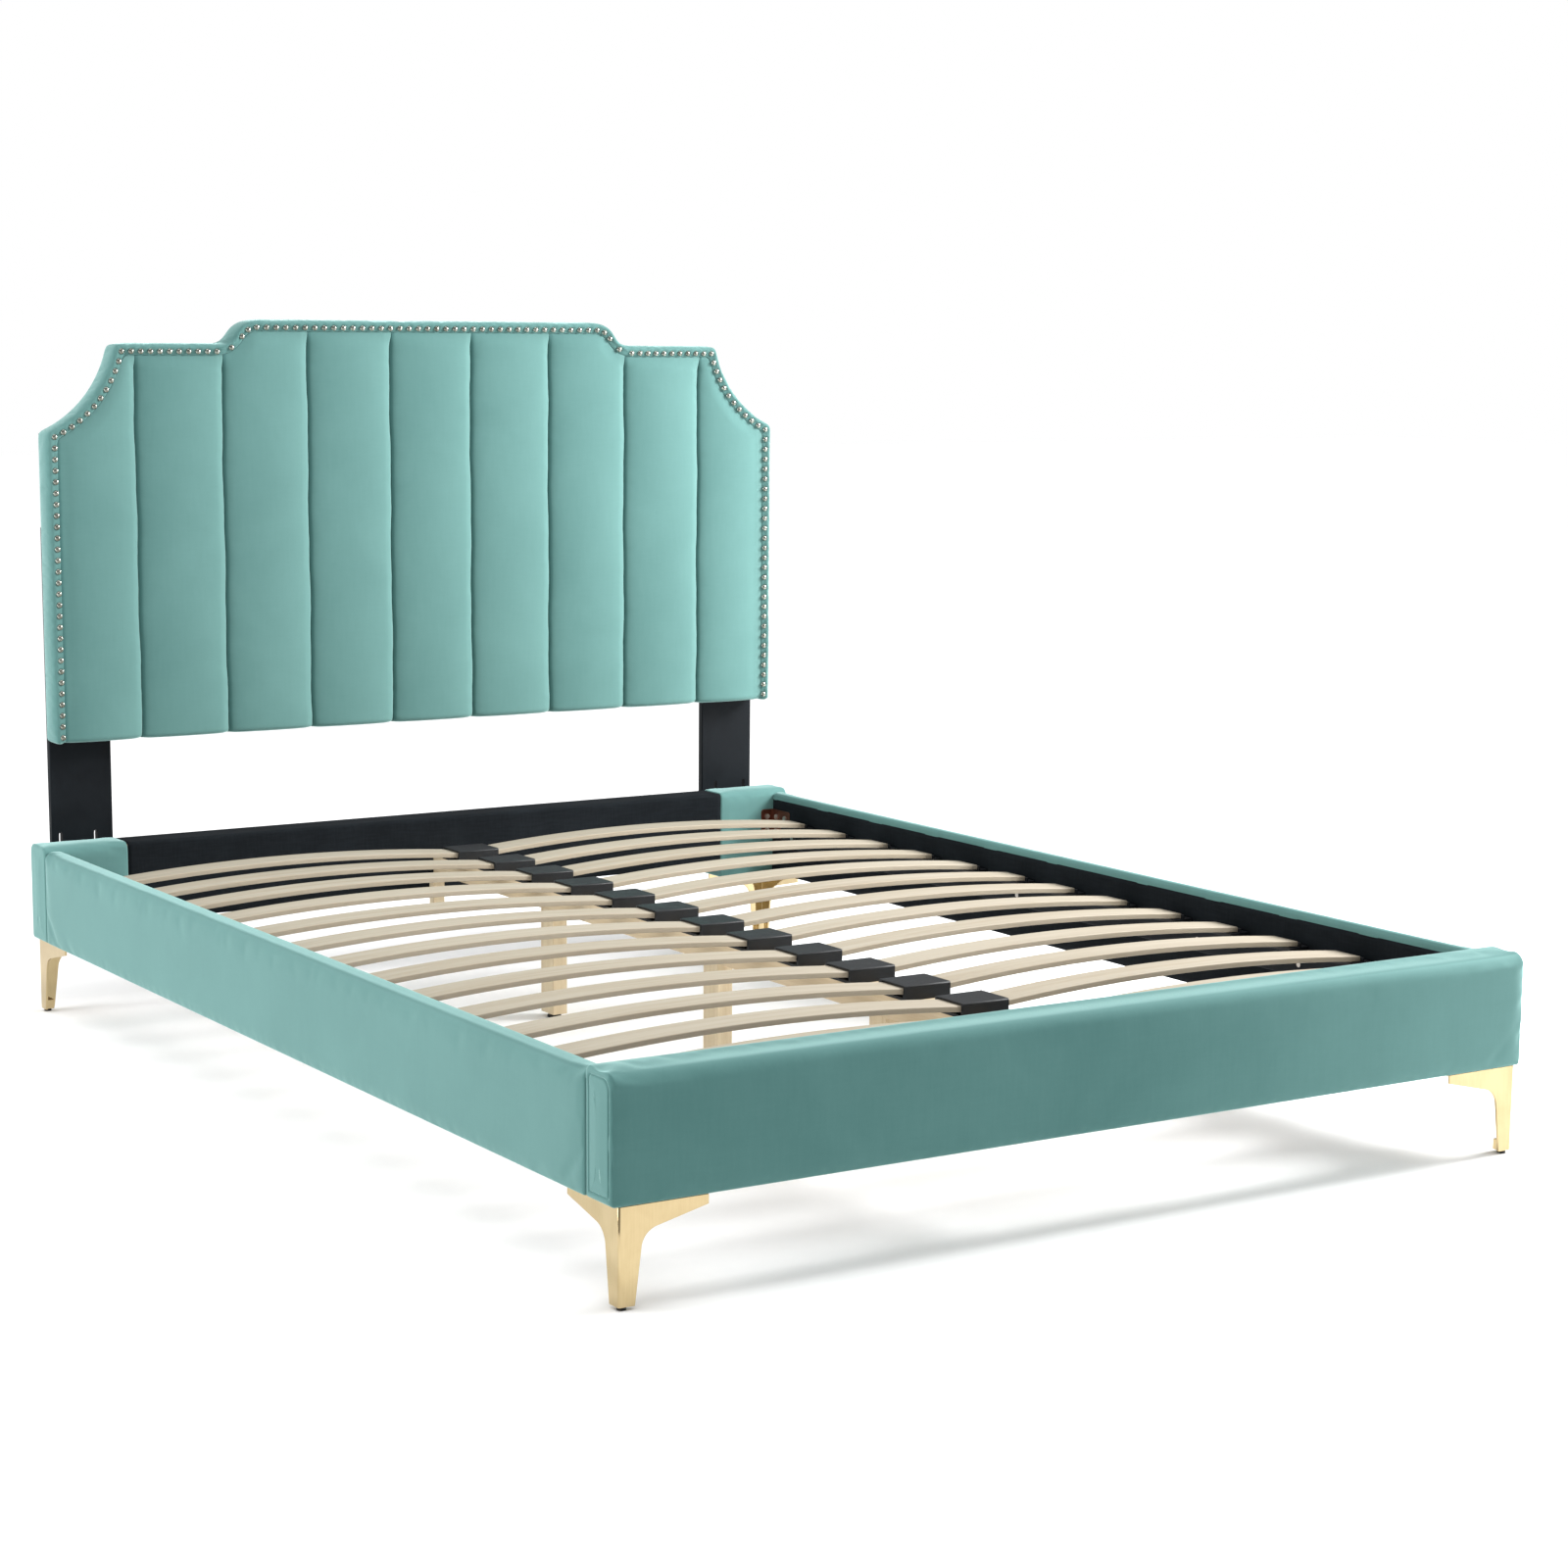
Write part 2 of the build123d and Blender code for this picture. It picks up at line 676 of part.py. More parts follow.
def make_corner_leg(side, y, inward):
    """Angle-shaped metal leg: two wings, a top plate and a threaded block at its foot."""
    corner_x = side * (half_bed - leg_inset_x)

    def along_x(reach, z):
        return Vector(corner_x - side * reach, y, z)

    def along_y(reach, z):
        return Vector(corner_x, y + inward * reach, z)

    leg = Solid.extrude(wing_face(along_x), Vector(0, inward * wing_thickness, 0))
    leg += Solid.extrude(wing_face(along_y), Vector(-side * wing_thickness, 0, 0))
    plate_points = [(0, 0), (wing_length, 0), (wing_length, plate_margin),
                    (plate_margin, wing_length), (0, wing_length)]
    plate = Face(Wire.make_polygon(
        [Vector(corner_x - side * px, y + inward * py, rail_bottom - plate_thickness)
         for px, py in plate_points], close=True))
    leg += Solid.extrude(plate, Vector(0, 0, plate_thickness))
    leg += block(corner_x, corner_x - side * foot_block, y, y + inward * foot_block,
                 leg_foot_z, foot_block_top)
    bead_radius = 3.0
    bead = [edge for edge in leg.edges().filter_by(Axis.Z)
            if abs(edge.center().X - corner_x) < 0.1 and abs(edge.center().Y - y) < 0.1]
    return fillet(bead, bead_radius)


def make_corner_leg_screws():
    """Screws up through the legs' top plates into the rails."""
    near = 14.0
    middle = 60.0
    far = 110.0
    holes = ((far, near), (middle, near), (near, middle), (near, far))
    length = 22.0
    pieces = []
    for _, side, y, inward in LEG_CORNERS:
        for px, py in holes:
            x = side * (half_bed - leg_inset_x - px)
            at = (x, y + inward * py, rail_bottom - plate_thickness - screw_head_height)
            head = rod(at, screw_head_radius, screw_head_height, (0, 0, 1))
            shank = rod(at, screw_radius, length, (0, 0, 1))
            pieces.append(head.fuse(shank))
    return group(pieces)


def make_corner_leg_glides():
    """Round pads pressed into the feet of the corner legs."""
    pad_radius = 6.5
    reach = foot_block / 2
    pieces = []
    for _, side, y, inward in LEG_CORNERS:
        x = side * (half_bed - leg_inset_x - reach)
        pieces.append(rod((x, y + inward * reach, 0), pad_radius, leg_foot_z, (0, 0, 1)))
    return group(pieces)


def make_slot_bolts():
    """Bolts with washers that pass through the struts' slots into the head rail."""
    grip = 40.0
    washer_radius = 9.0
    pieces = []
    washer_y = strut_rear + strut_gap
    for side in (-1, 1):
        for x in slot_xs:
            shank_start = head_rear - grip
            shank = rod((side * x, shank_start, slot_bolt_z), slot_bolt_diameter / 2,
                        washer_y - shank_start, (0, 1, 0))
            washer = rod((side * x, washer_y, slot_bolt_z), washer_radius,
                         washer_thickness, (0, 1, 0))
            head = rod((side * x, washer_y + washer_thickness, slot_bolt_z),
                       bolt_head_radius, bolt_head_height, (0, 1, 0))
            pieces.append(shank.fuse(washer).fuse(head))
    return group(pieces)


# ---------------------------------------------------------------- write every node

save(make_headboard_panel(), "headboard_panel")
save(make_headboard_frame(), "headboard_frame")
for channel in range(1, channel_count + 1):
    save(make_channel(channel), f"headboard_channel_{channel}")
save(make_headboard_border(), "headboard_border")
save(outline_slab(3.0, headboard_bottom + 3, frame_back, headboard_rear), "headboard_rear_cover")
save(make_nailheads(), "nailhead_trim")
save(make_strut_bolts(), "headboard_strut_bolts")
save(make_slot_bolts(), "headboard_slot_bolts")

save(make_foot_rail_core(), "foot_rail_core")
save(make_foot_rail_upholstery(), "foot_rail_upholstery")
save(make_foot_rail_lining(), "foot_rail_lining")
save(make_head_rail_core(), "head_rail_core")
save(make_head_rail_cover(), "head_rail_cover")

for word, sign in SIDES:
    save(make_headboard_strut(sign), f"headboard_strut_{word}")
    save(make_head_rail_sleeve(sign), f"head_rail_sleeve_{word}")
    save(make_side_rail_core(sign), f"side_rail_core_{word}")
    save(make_side_rail_upholstery(sign), f"side_rail_upholstery_{word}")
    save(make_side_rail_lining(sign), f"side_rail_lining_{word}")
    save(make_ledger(sign), f"slat_ledger_{word}")
    save(group(make_slat(sign, y) for y in slat_ys), f"slats_{word}")
    save(group(make_end_holder(sign, y) for y in slat_ys), f"slat_end_holders_{word}")

save(make_ledger_screws(), "ledger_screws")
save(group(make_centre_cap(y) for y in slat_ys), "centre_slat_caps")
save(make_centre_beam(), "centre_beam")
save(make_beam_cleats(), "beam_cleats")
save(make_centre_leg_bolts(), "centre_leg_bolts")
for index, leg_y in enumerate(centre_leg_ys, start=1):
    save(make_centre_leg(leg_y), f"centre_leg_{index}")
    save(make_levelling_glide(leg_y), f"levelling_glide_{index}")

for name, sign, face, toward in CORNERS:
    save(make_corner_bracket(sign, face, toward), f"corner_bracket_{name}")
for name, sign, leg_y, toward in LEG_CORNERS:
    save(make_corner_leg(sign, leg_y, toward), f"corner_leg_{name}")
save(make_corner_bolts(), "corner_bolts")
save(make_corner_leg_screws(), "corner_leg_screws")
save(make_corner_leg_glides(), "corner_leg_glides")
print("overall length", overall_length, "foot face at y", foot_face)
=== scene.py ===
# %% [markdown]
# # An upholstered bed, piece by piece
#
# This lesson dresses the working model of a bed: a velvet headboard with upright padded
# channels and a line of nailheads, padded rails round a bed of bowed slats, and gold angle
# legs. The working model is loaded as a fixed frame, in metres, and every piece made here
# is computed where the frame says it belongs, so nothing is fitted by eye afterwards.

import bmesh
import bpy
import numpy as np
from mathutils import Matrix, Vector


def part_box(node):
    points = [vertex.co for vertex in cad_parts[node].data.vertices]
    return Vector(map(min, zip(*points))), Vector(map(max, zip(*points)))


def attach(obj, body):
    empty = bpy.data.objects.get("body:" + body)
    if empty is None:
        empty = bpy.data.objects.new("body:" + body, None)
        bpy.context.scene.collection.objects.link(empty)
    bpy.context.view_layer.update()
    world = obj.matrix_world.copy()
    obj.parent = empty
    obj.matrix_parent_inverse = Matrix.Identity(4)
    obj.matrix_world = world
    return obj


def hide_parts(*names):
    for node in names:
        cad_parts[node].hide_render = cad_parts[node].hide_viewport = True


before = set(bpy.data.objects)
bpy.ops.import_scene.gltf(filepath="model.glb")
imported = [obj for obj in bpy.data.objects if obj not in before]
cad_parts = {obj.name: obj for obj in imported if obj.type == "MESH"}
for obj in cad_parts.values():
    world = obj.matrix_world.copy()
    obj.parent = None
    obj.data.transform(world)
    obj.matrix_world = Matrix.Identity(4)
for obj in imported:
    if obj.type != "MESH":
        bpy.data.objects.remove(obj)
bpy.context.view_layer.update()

# %% [markdown]
# ## The camera comes first
#
# A camera is placed by where it stands and where it looks. This one stands in front of the
# bed's left corner at the height of a tall person's chin, looks slightly down, and leans by
# a third of a degree, as a camera on a real tripod does. A small lens shift slides the
# picture without turning the camera, which keeps upright edges upright.

# %% Place the camera
camera_place = Vector((-2.7493, -4.4889, 1.2343))
heading, dip, lean = np.radians([31.7937, 9.4205, 0.3157])

look = Vector((np.sin(heading) * np.cos(dip), np.cos(heading) * np.cos(dip), -np.sin(dip)))
level = Vector((np.cos(heading), -np.sin(heading), 0.0))
upright = level.cross(look)
right = np.cos(lean) * level + np.sin(lean) * upright
top = np.cos(lean) * upright - np.sin(lean) * level

camera_data = bpy.data.cameras.new("camera")
camera_data.sensor_width = 36.0
camera_data.lens = 71.93
camera_data.shift_x = 0.0393
camera_data.shift_y = 0.0529
camera = bpy.data.objects.new("camera", camera_data)
bpy.context.scene.collection.objects.link(camera)
turn_to_view = Matrix((right, top, -look)).transposed().to_4x4()
camera.matrix_world = Matrix.Translation(camera_place) @ turn_to_view
bpy.context.scene.camera = camera
print("camera at", [round(value, 3) for value in camera_place])

# %% [markdown]
# ## Floor and light
#
# The studio is a pale plain floor under a white sky. Light straight down from a very wide
# lamp whitens the floor and the tops of things without flattening the upright faces. A soft
# panel over the bed, to the right, shapes the headboard's channels, a long one on the left
# brightens the side rail, and a weak one in front lifts the foot rail. The sky is white to
# the eye but lights the room gently, so that velvet and gold keep their shading.

# %% Build the studio
def add_panel(name, place, target, size, power):
    """A square area light at place, turned so that it shines at target."""
    data = bpy.data.lights.new(name, "AREA")
    data.size = size
    data.energy = power
    panel = bpy.data.objects.new(name, data)
    panel.location = place
    panel.visible_camera = False
    panel.rotation_euler = (Vector(target) - Vector(place)).to_track_quat("-Z", "Y").to_euler()
    bpy.context.scene.collection.objects.link(panel)


def add_overhead(strength, spread):
    """A wide sun straight above: the same light on every level surface, near or far."""
    data = bpy.data.lights.new("overhead", "SUN")
    data.energy = strength
    data.angle = np.radians(spread)
    overhead = bpy.data.objects.new("overhead", data)
    overhead.location = (0, 0, 6)
    bpy.context.scene.collection.objects.link(overhead)


def make_sky(seen, lighting):
    """A world whose brightness is seen for the camera's own rays and lighting for all others."""
    sky = bpy.data.worlds.new("white_sky")
    sky.use_nodes = True
    tree = sky.node_tree
    path = tree.nodes.new("ShaderNodeLightPath")
    strength = tree.nodes.new("ShaderNodeMapRange")
    strength.inputs["To Min"].default_value = lighting
    strength.inputs["To Max"].default_value = seen
    tree.links.new(path.outputs["Is Camera Ray"], strength.inputs["Value"])
    tree.nodes["Background"].inputs["Color"].default_value = (1.0, 1.0, 1.0, 1.0)
    tree.links.new(strength.outputs[0], tree.nodes["Background"].inputs["Strength"])
    bpy.context.scene.world = sky


add_panel("bed_panel", (2.9, -0.8, 2.2), (0, 1.0, 0.9), 1.2, 210)
add_panel("left_panel", (-4.0, 0.9, 1.2), (-0.8, -0.2, 0.2), 2.0, 84)
add_panel("front_panel", (3.4, -2.9, 1.2), (0.6, -1.1, 0.2), 1.2, 26)
add_overhead(2.2, 70)
make_sky(1.0, 0.42)
bpy.context.scene.view_settings.view_transform = "Standard"
print("three panels, an overhead lamp and a white sky")

# %% [markdown]
# ## Two tools for every mesh
#
# Almost every surface here is a grid: a table of points with rows and columns, where each
# cell becomes one four-sided face. One function numbers the faces, and a second makes a
# piece from points and faces, gives it a finish and lets it ride on a body of the frame.

# %% Grids and pieces
def grid_faces(rows, columns, wrap=False):
    """Vertex numbers of a grid's cells. With wrap, the last column joins the first."""
    row, column = np.meshgrid(np.arange(rows - 1), np.arange(columns if wrap else columns - 1),
                              indexing="ij")
    beside = (column + 1) % columns
    corners = [row * columns + column, (row + 1) * columns + column,
               (row + 1) * columns + beside, row * columns + beside]
    return np.stack(corners, axis=-1).reshape(-1, 4)


def face_outward(mesh):
    """Turn the faces of a closed mesh so that they all point outwards."""
    shell = bmesh.new()
    shell.from_mesh(mesh)
    bmesh.ops.recalc_face_normals(shell, faces=shell.faces)
    shell.to_mesh(mesh)
    shell.free()


def make_piece(name, points, faces, body, finish, closed=True):
    """A smooth mesh piece made of points (n, 3) and faces, riding on a body."""
    mesh = bpy.data.meshes.new(name)
    mesh.from_pydata(np.asarray(points).reshape(-1, 3), [], [list(face) for face in faces])
    if closed:
        face_outward(mesh)
    mesh.shade_smooth()
    mesh.materials.append(finish)
    piece = bpy.data.objects.new(name, mesh)
    bpy.context.scene.collection.objects.link(piece)
    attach(piece, body)
    return piece


def store(piece, label, values):
    """Keep one number for each point of a piece, for its finish to read."""
    attribute = piece.data.attributes.new(label, "FLOAT", "POINT")
    attribute.data.foreach_set("value", np.ascontiguousarray(values, dtype=np.float32).ravel())


def tube_faces(rings, around):
    """Faces of a tube of rings, each of so many points, closed by a flat face at both ends."""
    faces = grid_faces(rings, around, wrap=True).tolist()
    faces.append(list(range(around))[::-1])
    faces.append(list(range((rings - 1) * around, rings * around)))
    return faces


# %% [markdown]
# ## Finishes as node groups
#
# A finish is a pattern plus a shader. The patterns are node groups that several finishes
# share: each takes colours and scales and gives back a colour, a roughness and a height.
# The shader itself stays in the material, and so does every value that is the same all
# over, such as the strength of a velvet's sheen.

# %% Helpers for shader nodes
def add_node(tree, kind, inputs=(), **settings):
    """A new node. Each input is filled with a value, or linked if it is given a socket."""
    made = tree.nodes.new(kind)
    for key, value in settings.items():
        setattr(made, key, value)
    for key, value in dict(inputs).items():
        if isinstance(value, bpy.types.NodeSocket):
            tree.links.new(value, made.inputs[key])
        else:
            made.inputs[key].default_value = value
    return made


def start_group(name, inputs):
    """A node group with named inputs that gives out a colour, a roughness and a height."""
    group = bpy.data.node_groups.new(name, "ShaderNodeTree")
    for label, (kind, value) in inputs.items():
        socket = group.interface.new_socket(label, in_out="INPUT", socket_type="NodeSocket" + kind)
        socket.default_value = value
    for label, kind in (("Colour", "Color"), ("Roughness", "Float"), ("Height", "Float")):
        group.interface.new_socket(label, in_out="OUTPUT", socket_type="NodeSocket" + kind)
    return group, group.nodes.new("NodeGroupInput").outputs, group.nodes.new("NodeGroupOutput")


def sum_up(tree, *pairs):
    """A chain of Math nodes that adds each socket times its weight."""
    total = None
    for socket, weight in pairs:
        part = add_node(tree, "ShaderNodeMath", {0: socket, 1: weight}, operation="MULTIPLY")
        if total is None:
            total = part
        else:
            total = add_node(tree, "ShaderNodeMath", {0: total.outputs[0], 1: part.outputs[0]},
                             operation="ADD")
    return total.outputs[0]


def stretched_noise(tree, coordinates, stretch, scale, detail=3.0):
    """Noise drawn out along the axes whose stretch is small."""
    placed = add_node(tree, "ShaderNodeMapping", {"Vector": coordinates, "Scale": stretch})
    noise = add_node(tree, "ShaderNodeTexNoise",
                     {"Vector": placed.outputs[0], "Scale": scale, "Detail": detail})
    return noise.outputs["Fac"]


def fit_range(tree, socket, low, high, to_low=0.0, to_high=1.0):
    """Stretch a value's useful range."""
    fitted = add_node(tree, "ShaderNodeMapRange", {"Value": socket, "From Min": low, "From Max": high,
                                                   "To Min": to_low, "To Max": to_high})
    return fitted.outputs[0]


def blend_colours(tree, share, first, second):
    """Mix two colours by a share from 0 to 1."""
    mixed = add_node(tree, "ShaderNodeMix", data_type="RGBA")
    for label, value in (("Factor_Float", share), ("A_Color", first), ("B_Color", second)):
        socket = next(s for s in mixed.inputs if s.identifier == label)
        if isinstance(value, bpy.types.NodeSocket):
            tree.links.new(value, socket)
        else:
            socket.default_value = value
    return next(s for s in mixed.outputs if s.identifier == "Result_Color")


def start_finish(name, shader_values, bump_strength=0.3, bump_distance=0.001):
    """A material with a Principled BSDF and a Bump node that feeds its normal."""
    material = bpy.data.materials.new(name)
    material.use_nodes = True
    tree = material.node_tree
    shader = tree.nodes["Principled BSDF"]
    for label, value in shader_values.items():
        shader.inputs[label].default_value = value
    bump = add_node(tree, "ShaderNodeBump", {"Strength": bump_strength, "Distance": bump_distance})
    tree.links.new(bump.outputs[0], shader.inputs["Normal"])
    return material, tree, shader, bump


def use_pattern(tree, shader, bump, group, values):
    """Place a pattern group in a material and feed the shader from its three outputs."""
    pattern = tree.nodes.new("ShaderNodeGroup")
    pattern.node_tree = group
    for label, value in values.items():
        pattern.inputs[label].default_value = value
    tree.links.new(pattern.outputs["Colour"], shader.inputs["Base Color"])
    tree.links.new(pattern.outputs["Roughness"], shader.inputs["Roughness"])
    tree.links.new(pattern.outputs["Height"], bump.inputs["Height"])
    return pattern


print("shader helpers ready")

# %% [markdown]
# ### Velvet nap, with painted light and shade
#
# Velvet is a forest of short fibres. Where a hand or a roller has laid them over, the cloth
# looks lighter or darker, in soft patches and in faint streaks that run along and across
# the cloth. The group mixes three scales of that, and adds the fibres as a fine height.
# Each pad also carries an attribute that shifts its tone between pressed and raised: partly
# the lay of its pile, partly painted light and shade, such as painted shading across a face,
# painted shadow in creases and painted highlight on rolled edges.

# %% The nap pattern, with painted light and shade
def make_nap_and_shade_group():
    """Patches (large noise), crossed streaks (noise stretched two ways) and fibres (fine), plus a
    per-point input of painted light and shade.
    """
    group, given, out = start_group("velvet_nap_and_shade", {
        "Pressed": ("Color", (0.062, 0.160, 0.152, 1)),
        "Raised": ("Color", (0.140, 0.285, 0.270, 1)),
        "Nap_And_Shade": ("Float", 0.5),
        "Patch Scale": ("Float", 5.0),
        "Fibre Scale": ("Float", 900.0),
    })
    place = add_node(group, "ShaderNodeTexCoord").outputs["Object"]
    patches = add_node(group, "ShaderNodeTexNoise",
                       {"Vector": place, "Scale": given["Patch Scale"], "Detail": 4.0,
                        "Roughness": 0.55, "Distortion": 0.4}).outputs["Fac"]
    level_streaks = stretched_noise(group, place, (0.16, 0.16, 1.0), 190.0)
    upright_streaks = stretched_noise(group, place, (1.0, 1.0, 0.13), 170.0)
    fibres = add_node(group, "ShaderNodeTexNoise",
                      {"Vector": place, "Scale": given["Fibre Scale"], "Detail": 2.0}).outputs["Fac"]
    nap = sum_up(group, (patches, 0.62), (level_streaks, 0.09), (upright_streaks, 0.14),
                 (fibres, 0.15))
    mottle = fit_range(group, nap, 0.36, 0.64, -0.13, 0.13)
    # The input added here shifts each point's tone: partly the lay of the pile, partly painted light
    # and shade.
    share = add_node(group, "ShaderNodeMath", {0: mottle, 1: given["Nap_And_Shade"]}, operation="ADD")
    colour = blend_colours(group, share.outputs[0], given["Pressed"], given["Raised"])
    group.links.new(colour, out.inputs["Colour"])
    group.links.new(fit_range(group, nap, 0.3, 0.7, 0.78, 0.9), out.inputs["Roughness"])
    height = sum_up(group, (fibres, 0.90), (level_streaks, 0.05), (upright_streaks, 0.05))
    group.links.new(height, out.inputs["Height"])
    return group


nap_and_shade_group = make_nap_and_shade_group()
print("nap pattern:", len(nap_and_shade_group.nodes), "nodes")

# %% [markdown]
# ### Wood, weave and handling marks
#
# Three more patterns cover the rest. Wood grain is noise drawn out along the board, bent
# by a slower noise, with fine pores. Bonded lining is a felt of short crossed threads.
# Handling marks are the faint smears and hairline scratches that metal, plastic and
# lacquered board collect.

# %% Grain, lining and handling patterns
def make_grain_group():
    """Wood: slow bands and fine pores, both stretched along the board by Stretch."""
    group, given, out = start_group("wood_grain", {
        "Pale": ("Color", (0.72, 0.62, 0.45, 1)),
        "Dark": ("Color", (0.55, 0.44, 0.29, 1)),
        "Stretch": ("Vector", (0.05, 1.0, 1.0)),
        "Band Scale": ("Float", 26.0),
        "Board": ("Float", 0.0),
    })
    place = add_node(group, "ShaderNodeTexCoord").outputs["Object"]
    apart = add_node(group, "ShaderNodeCombineXYZ", {"X": given["Board"], "Y": given["Board"]})
    own_place = add_node(group, "ShaderNodeVectorMath", {0: place, 1: apart.outputs[0]},
                         operation="ADD")
    along = add_node(group, "ShaderNodeVectorMath", {0: own_place.outputs[0], 1: given["Stretch"]},
                     operation="MULTIPLY").outputs[0]
    bands = add_node(group, "ShaderNodeTexNoise",
                     {"Vector": along, "Scale": given["Band Scale"], "Detail": 5.0, "Roughness": 0.6,
                      "Distortion": 1.2}).outputs["Fac"]
    pores = add_node(group, "ShaderNodeTexNoise",
                     {"Vector": along, "Scale": 420.0, "Detail": 2.0}).outputs["Fac"]
    tone = add_node(group, "ShaderNodeTexNoise",
                    {"Vector": own_place.outputs[0], "Scale": 1.3, "Detail": 1.0}).outputs["Fac"]
    mixed = sum_up(group, (bands, 0.55), (pores, 0.2), (tone, 0.25))
    colour = blend_colours(group, fit_range(group, mixed, 0.36, 0.66), given["Pale"], given["Dark"])
    group.links.new(colour, out.inputs["Colour"])
    group.links.new(fit_range(group, bands, 0.3, 0.7, 0.52, 0.68), out.inputs["Roughness"])
    group.links.new(sum_up(group, (bands, 0.5), (pores, 0.5)), out.inputs["Height"])
    return group


def make_lining_group():
    """Bonded cloth: two sets of crossed threads over a soft cloudiness."""
    group, given, out = start_group("bonded_lining", {
        "Thread": ("Color", (0.0055, 0.0075, 0.0095, 1)),
        "Worn": ("Color", (0.011, 0.0140, 0.0170, 1)),
        "Thread Scale": ("Float", 260.0),
    })
    place = add_node(group, "ShaderNodeTexCoord").outputs["Object"]
    lengthways = stretched_noise(group, place, (0.12, 0.12, 1.0), given["Thread Scale"], 2.0)
    crossways = stretched_noise(group, place, (1.0, 1.0, 0.12), given["Thread Scale"], 2.0)
    clouds = add_node(group, "ShaderNodeTexNoise", {"Vector": place, "Scale": 9.0, "Detail": 3.0})
    felt = sum_up(group, (lengthways, 0.3), (crossways, 0.3), (clouds.outputs["Fac"], 0.4))
    share = fit_range(group, felt, 0.42, 0.66)
    group.links.new(blend_colours(group, share, given["Thread"], given["Worn"]), out.inputs["Colour"])
    group.links.new(fit_range(group, felt, 0.3, 0.7, 0.82, 0.95), out.inputs["Roughness"])
    group.links.new(sum_up(group, (lengthways, 0.5), (crossways, 0.5)), out.inputs["Height"])
    return group


def make_handling_group():
    """Smears and hairlines on a hard surface, and the grain that its moulding or brushing left."""
    group, given, out = start_group("handling_marks", {
        "Clean": ("Color", (0.5, 0.5, 0.5, 1)),
        "Handled": ("Color", (0.45, 0.45, 0.45, 1)),
        "Smooth": ("Float", 0.2),
        "Dull": ("Float", 0.35),
        "Hairline Stretch": ("Vector", (1.0, 1.0, 0.06)),
        "Grain Scale": ("Float", 400.0),
    })
    place = add_node(group, "ShaderNodeTexCoord").outputs["Object"]
    smears = add_node(group, "ShaderNodeTexNoise",
                      {"Vector": place, "Scale": 14.0, "Detail": 4.0, "Distortion": 0.8}).outputs["Fac"]
    drawn = add_node(group, "ShaderNodeVectorMath", {0: place, 1: given["Hairline Stretch"]},
                     operation="MULTIPLY").outputs[0]
    hairlines = add_node(group, "ShaderNodeTexNoise",
                         {"Vector": drawn, "Scale": given["Grain Scale"], "Detail": 3.0}).outputs["Fac"]
    marks = fit_range(group, sum_up(group, (smears, 0.7), (hairlines, 0.3)), 0.4, 0.62)
    colour = blend_colours(group, marks, given["Clean"], given["Handled"])
    group.links.new(colour, out.inputs["Colour"])
    roughness = add_node(group, "ShaderNodeMapRange", {"Value": marks, "To Min": given["Smooth"],
                                                       "To Max": given["Dull"]})
    group.links.new(roughness.outputs[0], out.inputs["Roughness"])
    group.links.new(hairlines, out.inputs["Height"])
    return group


grain_group = make_grain_group()
lining_group = make_lining_group()
handling_group = make_handling_group()
print("patterns:", [group.name for group in bpy.data.node_groups])

# %% [markdown]
# ### The finishes themselves
#
# Each finish names its own colours. Teal velvet has a strong pale sheen at grazing angles,
# set on the shader's own sockets. Gold and nail metal are fully metallic with little
# roughness, so they are drawn mostly by what they mirror.

# %% Velvet and lining
def make_velvet():
    """Short-pile velvet: soft nap colours, with painted light and shade from an attribute, under a
    broad pale sheen.
    """
    material, tree, shader, bump = start_finish("teal_velvet", {
        "Sheen Weight": 0.9, "Sheen Roughness": 0.38, "Sheen Tint": (0.66, 0.97, 0.94, 1),
        "Specular IOR Level": 0.12}, 0.25, 0.0005)
    pattern = use_pattern(tree, shader, bump, nap_and_shade_group, {})
    # This attribute moves each point between the pressed and raised tones: partly the lay of the pile,
    # partly painted light and shade.
    nap_and_shade = add_node(tree, "ShaderNodeAttribute", attribute_name="nap_and_shade")
    tree.links.new(nap_and_shade.outputs["Fac"], pattern.inputs["Nap_And_Shade"])
    return material


def make_lining():
    """Black bonded cloth that closes the rails' inner faces and the headboard's back."""
    material, tree, shader, bump = start_finish(
        "black_lining", {"Specular IOR Level": 0.1}, 0.5, 0.0005)
    use_pattern(tree, shader, bump, lining_group, {"Thread Scale": 260.0})
    return material


velvet = make_velvet()
lining = make_lining()

# %% Wood finishes
def make_wood(name, pale, dark, stretch, band_scale, coat=0.0):
    """A plain wood finish; stretch is small along the board."""
    material, tree, shader, bump = start_finish(name, {"Coat Weight": coat, "Coat Roughness": 0.4,
                                                       "Specular IOR Level": 0.35}, 0.25, 0.0006)
    use_pattern(tree, shader, bump, grain_group, {
        "Pale": pale, "Dark": dark, "Stretch": stretch, "Band Scale": band_scale})
    return material


leg_timber = make_wood("frame_wood", (0.74, 0.63, 0.44, 1), (0.58, 0.45, 0.28, 1),
                       (1.0, 1.0, 0.06), 30.0)
beam_timber = make_wood("beam_wood", (0.70, 0.58, 0.40, 1), (0.54, 0.41, 0.25, 1),
                        (1.0, 0.06, 1.0), 26.0)
carcass_board = make_wood("hidden_board", (0.60, 0.46, 0.29, 1), (0.46, 0.33, 0.19, 1),
                          (0.08, 0.08, 1.0), 20.0)

